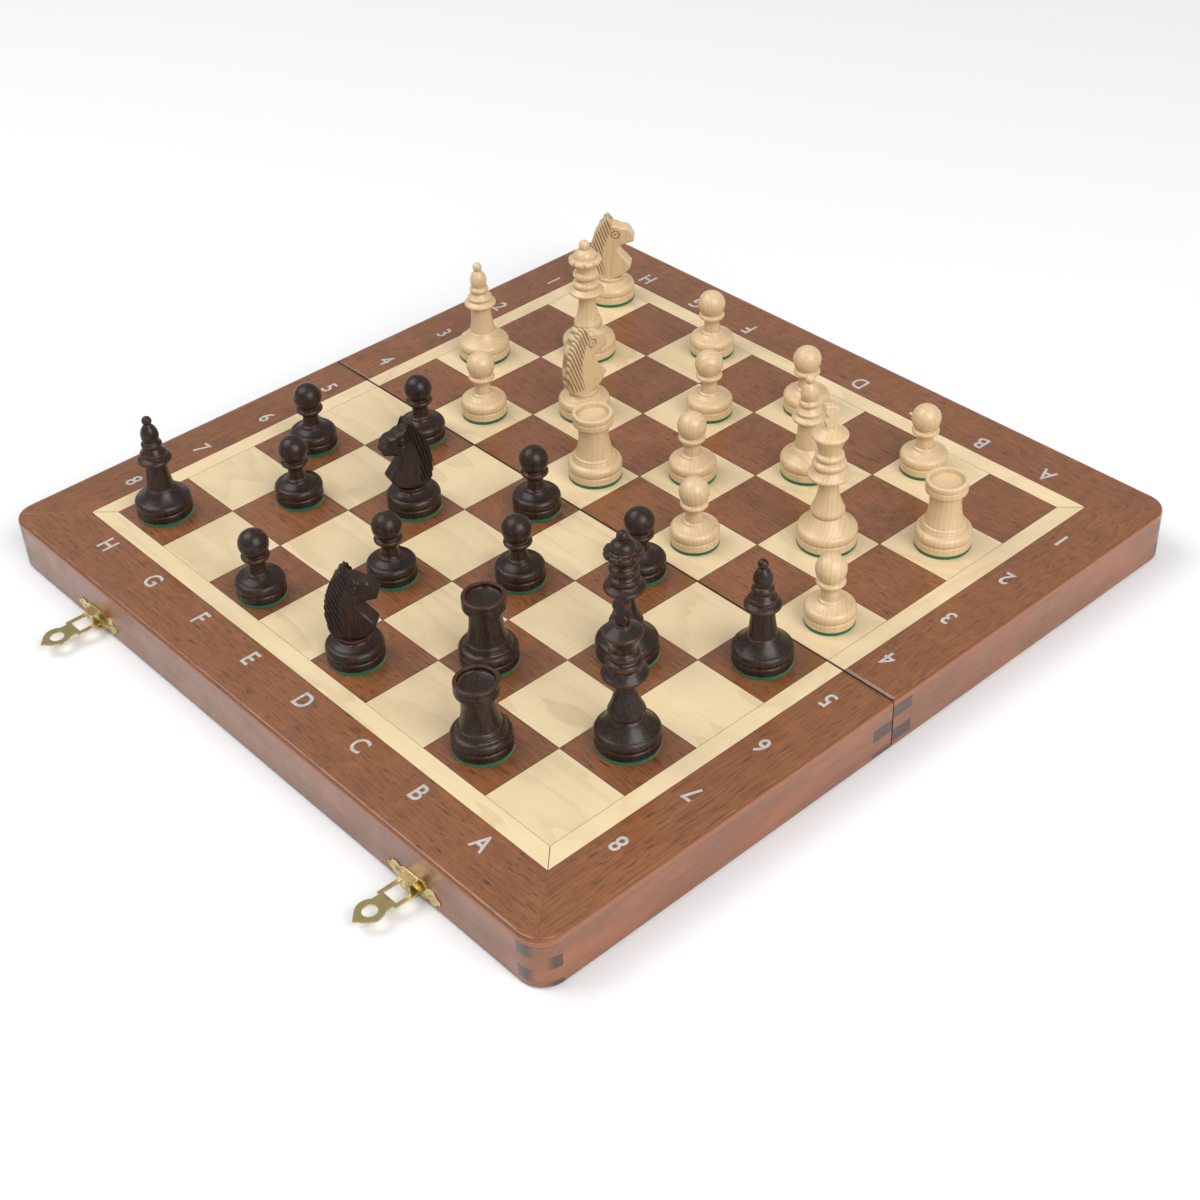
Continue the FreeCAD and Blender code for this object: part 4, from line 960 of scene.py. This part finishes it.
def stand_man(node, men):
    """One man on his place in the frame: his wood in one piece and his felt in another."""
    low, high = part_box(node)
    shade, kind = node.split("_")[:2]
    stand, base_r = standing_place(node)
    top = (high.z - low.z) / MM
    seed = seed_of(node)
    shapes = [turned_solid(men, kind, base_r, top)]
    if kind == "king":
        shapes.append(king_finial(top))
    if kind == "knight":
        shapes.append(knight_head(HEAD_FOOT - 0.3))
    points, quads, tris, edge = joined(*shapes)
    carved = np.clip(-edge, 0, 1)
    carved[:len(shapes[0][0])] = 0        # what the lathe cut isn't carved
    turn = Matrix.Rotation(math.radians(TURNS.get(node, seed.uniform(0, 360))), 3, "Z")
    log = log_coordinates(points, seed)
    slot = "light_man" if shade == "white" else "dark_man"
    wood = lay_mesh(node + "_wood", points @ np.array(turn).T + stand, quads, tris, slot + "_wood",
                    log=log, edge=edge, carved=carved)
    finish_piece(wood, BODY_OF[node], slot, node)
    points, quads, tris = felt_disc(men, base_r, seed)
    felt = lay_mesh(node + "_felt", points + stand, quads, tris, "felt_cloth")
    finish_piece(felt, BODY_OF[node], "green_felt")


def stand_kind(scene, kind):
    """Every man of one kind, each on his own place."""
    found = [node for node in MEN if "_" + kind in node]
    if not found:
        raise RuntimeError("the frame holds no " + kind)
    for node in found:
        stand_man(node, scene.chess_men)


# ---------------------------------------------------------------- the board's veneers
def veneer_leaf(corners, bevel):
    """One flat veneer on four (x, y) corners, its top edge bevelled.

    Four rings of four corners: the underside, the wall's top, the bevel's inner line and a line
    just inside it, so that the glue line's mark stays at the edge.  A corner moves in along its
    line to the middle, by the square's diagonal for each side.
    """
    corners = np.array(corners, float)
    inwards = corners.mean(0) - corners
    inwards *= math.sqrt(2) / np.linalg.norm(inwards, axis=1)[:, None]
    rings = [(0, TOP_Z - VENEER), (0, TOP_Z - bevel * 0.3), (1.4 * bevel, TOP_Z), (2.8 * bevel, TOP_Z)]
    points = np.concatenate([np.column_stack([corners + inset * inwards, np.full(4, z)])
                             for inset, z in rings])
    quads = [(3, 2, 1, 0), (12, 13, 14, 15)]
    for ring in range(3):
        quads += [(4 * ring + k, 4 * ring + (k + 1) % 4, 4 * ring + 4 + (k + 1) % 4, 4 * ring + 4 + k)
                  for k in range(4)]
    edge = np.repeat([1.0, 1.0, 1.0, 0.0], 4)
    return points, np.array(quads), edge


def board_coordinates(points, seed, along_x, depth=(0.05, 0.16)):
    """Places in the log a veneer was sliced from: fibre along the board's X or Y, pith below it."""
    x, y, z = points.T
    fibre, across = (x, y) if along_x else (y, x)
    tilt = seed.uniform(-0.12, 0.12)
    deep = seed.uniform(*depth) + tilt * (fibre - fibre.mean())
    return np.stack([across - across.mean() + seed.uniform(-0.03, 0.03), deep + z - TOP_Z,
                     fibre + seed.uniform(0, 1)], -1)


def lay_leaves(name, leaves, finish, body, slot, *nodes):
    """Several veneers as one piece.  Each leaf is its corners and whether its grain runs along X."""
    board = bpy.context.scene.chess_board
    points, quads, logs, tones, edges = [], [], [], [], []
    for index, (corners, along_x) in enumerate(leaves):
        seed = seed_of(f"{name} {index}")
        p, q, edge = veneer_leaf(corners, board.joint_line)
        quads.append(q + len(p) * index)
        points.append(p)
        logs.append(board_coordinates(p, seed, along_x))
        tones.append(np.full(len(p), seed.uniform()))
        edges.append(edge)
    obj = lay_mesh(name, np.concatenate(points), np.concatenate(quads), [], finish, smooth=False,
                   log=np.concatenate(logs), tone=np.concatenate(tones), edge=np.concatenate(edges))
    return finish_piece(obj, body, slot, *nodes)


def square_corners(column, row, side):
    """Corners of one square; side is 1 on the white half and -1 on the black half."""
    x1 = FIELD_HIGH.x - SQUARE * column
    x0 = x1 - SQUARE
    near, far = max(FOLD_Y, row * SQUARE - SAW_KERF), (row + 1) * SQUARE - SAW_KERF
    y0, y1 = sorted((side * near, side * far))
    return [(x0, y0), (x1, y0), (x1, y1), (x0, y1)]


def lay_field(half, side):
    """The squares of both colours and the light strip round them, on one half."""
    light, dark = [], []
    for column in range(len(FILES)):
        for row in range(RANKS // 2):
            is_dark = ((column + RANKS // 2 - 1 - row) % 2 == 0) == (side > 0)
            (dark if is_dark else light).append((square_corners(column, row, side), True))
    in_x, in_y, out_x, out_y = FIELD_HIGH.x, FIELD_HIGH.y, STRIP_HIGH.x, STRIP_HIGH.y
    end = [(-in_x, in_y), (in_x, in_y), (out_x, out_y), (-out_x, out_y)]
    right = [(in_x, FOLD_Y), (out_x, FOLD_Y), (out_x, out_y), (in_x, in_y)]
    left = [(-x, y) for x, y in reversed(right)]
    for corners, along_x in ((end, True), (right, False), (left, False)):
        if side < 0:
            corners = [(x, -y) for x, y in reversed(corners)]
        light.append((corners, along_x))
    lay_leaves(half + "_light_leaves", light, "maple_leaf", half, "maple_veneer",
               half + "_light_veneer")
    lay_leaves(half + "_dark_leaves", dark, "mahogany_leaf", half, "mahogany_veneer",
               half + "_dark_squares")


def rounded_outline(board, steps=14, along_side=59, along_end=118):
    """The white half's outer edge from the fold round one corner to its mitre, and on to the middle.

    Gives places, outward directions and the matching places on the border's inner line: the side
    strip's first, then the end strip's.  The corner is an arc, its angle running on from the side's
    outward direction to the end's, and the mitre is the line from the inner corner to the outer.
    """
    out_x, out_y, in_x, in_y = OUTER_HIGH.x, OUTER_HIGH.y, STRIP_HIGH.x, STRIP_HIGH.y
    r = board.corner_r
    mitre = math.atan2(out_y - in_y, out_x - in_x)
    angle = np.linspace(0, mitre, steps)
    centre = np.array([out_x - r, out_y - r])
    turn = np.stack([np.cos(angle), np.sin(angle)], -1)
    run = np.linspace(FOLD_Y, out_y - r, along_side + 1)[:-1]
    side = np.concatenate([np.stack([np.full(along_side, out_x), run], -1), centre + r * turn])
    side_out = np.concatenate([np.tile([1.0, 0.0], (along_side, 1)), turn])
    side_in = np.stack([np.full(len(side), in_x), np.minimum(side[:, 1], in_y)], -1)
    angle = np.linspace(mitre, math.pi / 2, steps)
    turn = np.stack([np.cos(angle), np.sin(angle)], -1)
    run = np.linspace(out_x - r, -(out_x - r), along_end + 2)[1:-1]
    arc = centre + r * turn
    end = np.concatenate([arc, np.stack([run, np.full(along_end, out_y)], -1), (arc * [-1, 1])[::-1]])
    end_out = np.concatenate([turn, np.tile([0.0, 1.0], (along_end, 1)), (turn * [-1, 1])[::-1]])
    end_in = np.stack([np.clip(end[:, 0], -in_x, in_x), np.full(len(end), in_y)], -1)
    return (side, side_out, side_in), (end, end_out, end_in)


def border_strip(board, line, arris_steps=7):
    """Sections of a border veneer along its outline, with their edge marks.

    Across it: up the inner wall, over the flat, round the arris as far as the veneer is thick, and
    back along the underside, which closes the ring.
    """
    outer, outward, inner = line
    r = board.arris_r
    last = math.acos(1 - VENEER / r)
    arris = [(r - r * math.sin(a), -(r - r * math.cos(a))) for a in np.linspace(0, last, arris_steps)]
    flat_edge = outer - outward * r
    rows = [(inner, -VENEER, 1.0), (inner, -board.joint_line / 2, 1.0)]
    for share, mark_value in ((0.005, 1.0), (0.011, 0.0), (0.25, 0.0), (0.5, 0.0), (0.75, 0.0)):
        rows.append((inner + (flat_edge - inner) * share, 0.0, mark_value))
    rows += [(outer - outward * inset, drop, 0.0) for inset, drop in arris[:-1]]
    inset, drop = arris[-1]
    rows.append((outer - outward * inset, drop, 0.8))
    sections = np.stack([np.column_stack([xy, np.full(len(xy), TOP_Z + z)]) for xy, z, _ in rows], 1)
    return sections, np.tile([mark_value for _, _, mark_value in rows], len(outer))


def lay_border(half, side, board):
    """The three mitred strips of the dark border on one half."""
    side_line, end_line = rounded_outline(board)
    flip = np.array([-1.0, 1.0])
    left_line = tuple((part * flip)[::-1] for part in side_line)
    for name, line, along_x in (("right", side_line, False), ("end", end_line, True),
                                ("left", left_line, False)):
        sections, edge = border_strip(board, line)
        points = np.concatenate([sections.reshape(-1, 3), sections[[0, -1]].mean(1)])
        quads, tris = tube_faces(*sections.shape[:2])
        if side < 0:
            points = points * [-1, -1, 1]
            name = {"left": "right", "right": "left"}.get(name, name)
        seed = seed_of(half + name)
        log = board_coordinates(points, seed, along_x, depth=(0.08, 0.2))
        obj = lay_mesh(f"{half}_border_{name}", points, quads[:, ::-1], tris[:, ::-1], "mahogany_leaf",
                       log=log, tone=np.full(len(points), 0.35 + 0.3 * seed.uniform()),
                       edge=np.concatenate([edge, [0, 0]]))
        finish_piece(obj, half, "mahogany_veneer", half + "_border_veneer")


# ---------------------------------------------------------------- lettering
def print_sign(text, x, y, turned_round, body, board, heavier=0.015, narrower=0.86):
    """One printed sign on the border, centred on its square's line, made a mesh in place.

    heavier thickens its strokes, in shares of the letter's size, and narrower squeezes its width.
    """
    curve = bpy.data.curves.new("sign_" + text, "FONT")
    curve.body = text
    curve.offset = heavier
    holder = object_of("sign_" + text, curve)
    bpy.context.view_layer.update()
    mesh = bpy.data.meshes.new_from_object(holder)
    bpy.data.objects.remove(holder)
    points = points_of(mesh)
    low, high = points.min(0), points.max(0)
    scale = board.cap_high / (high[1] - low[1])
    points = (points - (low + high) / 2) * [scale * narrower, scale, 0]
    points = points * (-1 if turned_round else 1) + [x, y, TOP_Z + board.print_thick]
    mesh.vertices.foreach_set("co", points.ravel().astype(np.float32))
    dress(mesh, "printed_ink")
    mesh.update()
    place = f"{round(x / MM)}_{round(y / MM)}".replace("-", "m")
    return finish_piece(object_of(f"sign_{text}_{place}", mesh), body, "silver_print")


# ---------------------------------------------------------------- pieces kept from the frame
def facing_marks(mesh):
    """Marks how squarely each point's faces look along X and along Y, larger faces counting more."""
    counts = np.zeros(len(mesh.polygons), np.int32)
    areas = np.zeros(len(mesh.polygons), np.float32)
    normals = np.zeros(len(mesh.polygons) * 3, np.float32)
    corners = np.zeros(len(mesh.loops), np.int32)
    mesh.polygons.foreach_get("loop_total", counts)
    mesh.polygons.foreach_get("area", areas)
    mesh.polygons.foreach_get("normal", normals)
    mesh.loops.foreach_get("vertex_index", corners)
    weight = np.repeat(areas, counts)
    total = np.bincount(corners, weight, len(mesh.vertices))
    for name, axis in (("across", 0), ("along", 1)):
        facing_it = np.repeat(np.abs(normals.reshape(-1, 3)[:, axis]), counts) * weight
        share = np.bincount(corners, facing_it, len(mesh.vertices)) / np.maximum(total, 1e-12)
        mark_points(mesh, **{name: share})


def softened(node, name, finish, slot, bevel, double=0.002 * MM, flat=0.5, sharp=35):
    """A copy of a frame node with its doubles merged and every sharp edge rounded.

    Points nearer than double are one, faces within flat degrees of each other are one, and edges
    that turn by more than sharp degrees are rounded.
    """
    work = bmesh.new()
    work.from_mesh(frame["nodes"][node].data)
    bmesh.ops.remove_doubles(work, verts=work.verts, dist=double)
    bmesh.ops.dissolve_limit(work, angle_limit=math.radians(flat), verts=work.verts, edges=work.edges)
    edges = [edge for edge in work.edges
             if len(edge.link_faces) == 2 and edge.calc_face_angle(0.0) > math.radians(sharp)]
    bmesh.ops.bevel(work, geom=edges, offset=bevel, segments=2, profile=0.6, affect="EDGES",
                    clamp_overlap=True)
    mesh = bpy.data.meshes.new(name)
    work.to_mesh(mesh)
    work.free()
    mesh.polygons.foreach_set("use_smooth", np.ones(len(mesh.polygons), bool))
    facing_marks(mesh)
    dress(mesh, finish)
    obj = object_of(name, mesh)
    keep_flat = obj.modifiers.new("Keep flats", "WEIGHTED_NORMAL")
    keep_flat.keep_sharp = True
    return finish_piece(obj, BODY_OF[node], slot, node)


# ---------------------------------------------------------------- operators
class CHESS_OT_finishes(bpy.types.Operator):
    """Make the woods, brass, felt and print that the pieces wear"""
    bl_idname = "chess.finishes"
    bl_label = "Finishes"

    def execute(self, context):
        make_finishes(context.scene)
        return {"FINISHED"}


class CHESS_OT_pawns(bpy.types.Operator):
    """Turn the sixteen pawns"""
    bl_idname = "chess.pawns"
    bl_label = "Pawns"

    def execute(self, context):
        stand_kind(context.scene, "pawn")
        return {"FINISHED"}


class CHESS_OT_rooks(bpy.types.Operator):
    """Turn the four rooks"""
    bl_idname = "chess.rooks"
    bl_label = "Rooks"

    def execute(self, context):
        stand_kind(context.scene, "rook")
        return {"FINISHED"}


class CHESS_OT_knights(bpy.types.Operator):
    """Turn the four knights' bases and carve their heads"""
    bl_idname = "chess.knights"
    bl_label = "Knights"

    def execute(self, context):
        stand_kind(context.scene, "knight")
        return {"FINISHED"}


class CHESS_OT_bishops(bpy.types.Operator):
    """Turn the four bishops"""
    bl_idname = "chess.bishops"
    bl_label = "Bishops"

    def execute(self, context):
        stand_kind(context.scene, "bishop")
        return {"FINISHED"}


class CHESS_OT_queens(bpy.types.Operator):
    """Turn the two queens and cut their coronets"""
    bl_idname = "chess.queens"
    bl_label = "Queens"

    def execute(self, context):
        stand_kind(context.scene, "queen")
        return {"FINISHED"}


class CHESS_OT_kings(bpy.types.Operator):
    """Turn the two kings and carve their finials"""
    bl_idname = "chess.kings"
    bl_label = "Kings"

    def execute(self, context):
        stand_kind(context.scene, "king")
        return {"FINISHED"}


class CHESS_OT_field(bpy.types.Operator):
    """Lay the squares and the light strip round them"""
    bl_idname = "chess.field"
    bl_label = "Playing field"

    def execute(self, context):
        lay_field("white_half", 1)
        lay_field("black_half", -1)
        return {"FINISHED"}


class CHESS_OT_border(bpy.types.Operator):
    """Lay the mitred dark border"""
    bl_idname = "chess.border"
    bl_label = "Border"

    def execute(self, context):
        lay_border("white_half", 1, context.scene.chess_board)
        lay_border("black_half", -1, context.scene.chess_board)
        return {"FINISHED"}


class CHESS_OT_lettering(bpy.types.Operator):
    """Print the files' letters and the ranks' numbers on the border"""
    bl_idname = "chess.lettering"
    bl_label = "Lettering"

    def execute(self, context):
        board = context.scene.chess_board
        end_y, side_x = FIELD_HIGH.y + board.letter_line, FIELD_HIGH.x + board.letter_line
        for index, letter in enumerate(FILES):
            x = FIELD_HIGH.x - SQUARE * (index + 0.5)
            print_sign(letter, x, -end_y, False, "black_half", board)
            print_sign(letter, x, end_y, True, "white_half", board)
        for rank in range(1, RANKS + 1):
            away = abs(RANKS / 2 + 0.5 - rank) * SQUARE - SAW_KERF
            half = "white_half" if rank <= RANKS // 2 else "black_half"
            y = away if half == "white_half" else -away
            print_sign(str(rank), -side_x, y, False, half, board)
            print_sign(str(rank), side_x, y, True, half, board)
        return {"FINISHED"}


class CHESS_OT_case(bpy.types.Operator):
    """Round the rails of the two box halves and dress their panels"""
    bl_idname = "chess.case"
    bl_label = "Case"

    def execute(self, context):
        board = context.scene.chess_board
        for half in ("white_half", "black_half"):
            for rail, finish in (("end", "rail_wood_x"), ("fold", "rail_wood_x"),
                                 ("left", "rail_wood_y"), ("right", "rail_wood_y")):
                softened(f"{half}_{rail}_rail", f"{half}_{rail}_wood", finish, "stained_rail",
                         board.rail_edge)
            dress(frame["nodes"][half + "_panel"].data, "panel_edge")
        return {"FINISHED"}


class CHESS_OT_brasswork(bpy.types.Operator):
    """Finish the hinges, latches, catches and their nails"""
    bl_idname = "chess.brasswork"
    bl_label = "Brasswork"

    def execute(self, context):
        board = context.scene.chess_board
        for node in ("latch_plates", "catch_plates", "latch_hook_left", "latch_hook_right"):
            softened(node, node + "_brass", "stamped_brass", "brass", board.metal_edge)
        for node in frame["nodes"]:
            if "hinge" in node or "nails" in node:
                dress(frame["nodes"][node].data, "stamped_brass")
        return {"FINISHED"}


class CHESS_OT_stage(bpy.types.Operator):
    """Set the pale floor, the soft lights and the camera"""
    bl_idname = "chess.stage"
    bl_label = "Stage"

    def execute(self, context):
        view = context.scene.chess_view
        lay_floor(view)
        hang_lights()
        stand_camera(context.scene, view)
        return {"FINISHED"}


def lay_floor(view):
    """A plain pale floor just under the lowest point of the set."""
    half = view.floor / 2
    z = CAD_BOX[0][2]
    _, shader, _ = new_finish("pale_floor")
    shader.inputs["Base Color"].default_value = (0.90, 0.90, 0.90, 1.0)
    shader.inputs["Roughness"].default_value = 0.9
    shader.inputs["Specular IOR Level"].default_value = 0.1
    points = np.array([(-half, -half, z), (half, -half, z), (half, half, z), (-half, half, z)])
    lay_mesh("floor", points, [(0, 1, 2, 3)], [], "pale_floor", smooth=False)


def hang_lights():
    """A white tent of light, with a broad soft box over the right and a weaker one over the left."""
    world = bpy.data.worlds.new("studio")
    world.use_nodes = True
    sky = world.node_tree.nodes["Background"]
    sky.inputs["Color"].default_value = (0.95, 0.97, 1.0, 1.0)
    sky.inputs["Strength"].default_value = 0.42
    bpy.context.scene.world = world
    for name, place, size, power in (("key", (2.3, -0.2, 1.9), 2.0, 66.0),
                                     ("fill", (-1.1, -0.9, 2.2), 1.8, 36.0)):
        lamp = bpy.data.lights.new(name, "AREA")
        lamp.shape = "SQUARE"
        lamp.size = size
        lamp.energy = power
        object_of(name, lamp).matrix_world = facing(Vector(place), Vector((0, 0, 0)), 0.0)


def facing(place, aim, roll):
    """The place and turn of something that looks along its -Z at a point, rolled about that line."""
    forward = (aim - place).normalized()
    level = forward.cross(Vector((0, 0, 1))).normalized()
    above = level.cross(forward)
    right = level * math.cos(roll) + above * math.sin(roll)
    up = above * math.cos(roll) - level * math.sin(roll)
    turn = Matrix((right, up, -forward)).transposed().to_4x4()
    return Matrix.Translation(place) @ turn


def stand_camera(scene, view):
    """The camera at the angle that the set is shown from."""
    camera = bpy.data.cameras.new("camera")
    camera.lens = view.lens
    camera.sensor_width = 36.0
    camera.clip_end = 50.0
    scene.camera = object_of("camera", camera)
    scene.camera.matrix_world = facing(Vector(view.place), Vector(view.aim), view.roll)
    scene.view_settings.view_transform = "Standard"


class CHESS_PT_panel(bpy.types.Panel):
    """The chess set's pieces, in the order they are made"""
    bl_idname = "CHESS_PT_panel"
    bl_label = "Chess Set"
    bl_space_type = "VIEW_3D"
    bl_region_type = "UI"
    bl_category = "Chess"

    def draw(self, context):
        layout = self.layout
        for step in OPERATORS:
            layout.operator(step.bl_idname)
        for group_name in PROPERTIES:
            settings = getattr(context.scene, group_name)
            box = layout.box()
            for prop in settings.bl_rna.properties:
                if not prop.is_readonly and prop.identifier != "name":
                    box.prop(settings, prop.identifier)


OPERATORS = (CHESS_OT_finishes, CHESS_OT_field, CHESS_OT_border, CHESS_OT_lettering, CHESS_OT_case,
             CHESS_OT_brasswork, CHESS_OT_pawns, CHESS_OT_rooks, CHESS_OT_knights, CHESS_OT_bishops,
             CHESS_OT_queens, CHESS_OT_kings, CHESS_OT_stage)
PROPERTIES = {"chess_board": CHESS_PG_board, "chess_men": CHESS_PG_men,
              "chess_finish": CHESS_PG_finish, "chess_view": CHESS_PG_view}


def register():
    for made in (*PROPERTIES.values(), *OPERATORS, CHESS_PT_panel):
        bpy.utils.register_class(made)
    for name, kind in PROPERTIES.items():
        setattr(bpy.types.Scene, name, PointerProperty(type=kind))


def unregister():
    for name in PROPERTIES:
        delattr(bpy.types.Scene, name)
    for made in reversed((*PROPERTIES.values(), *OPERATORS, CHESS_PT_panel)):
        bpy.utils.unregister_class(made)


def main():
    register()
    for step in OPERATORS:
        space, name = step.bl_idname.split(".")
        getattr(getattr(bpy.ops, space), name)()


if __name__ == "__main__":
    main()
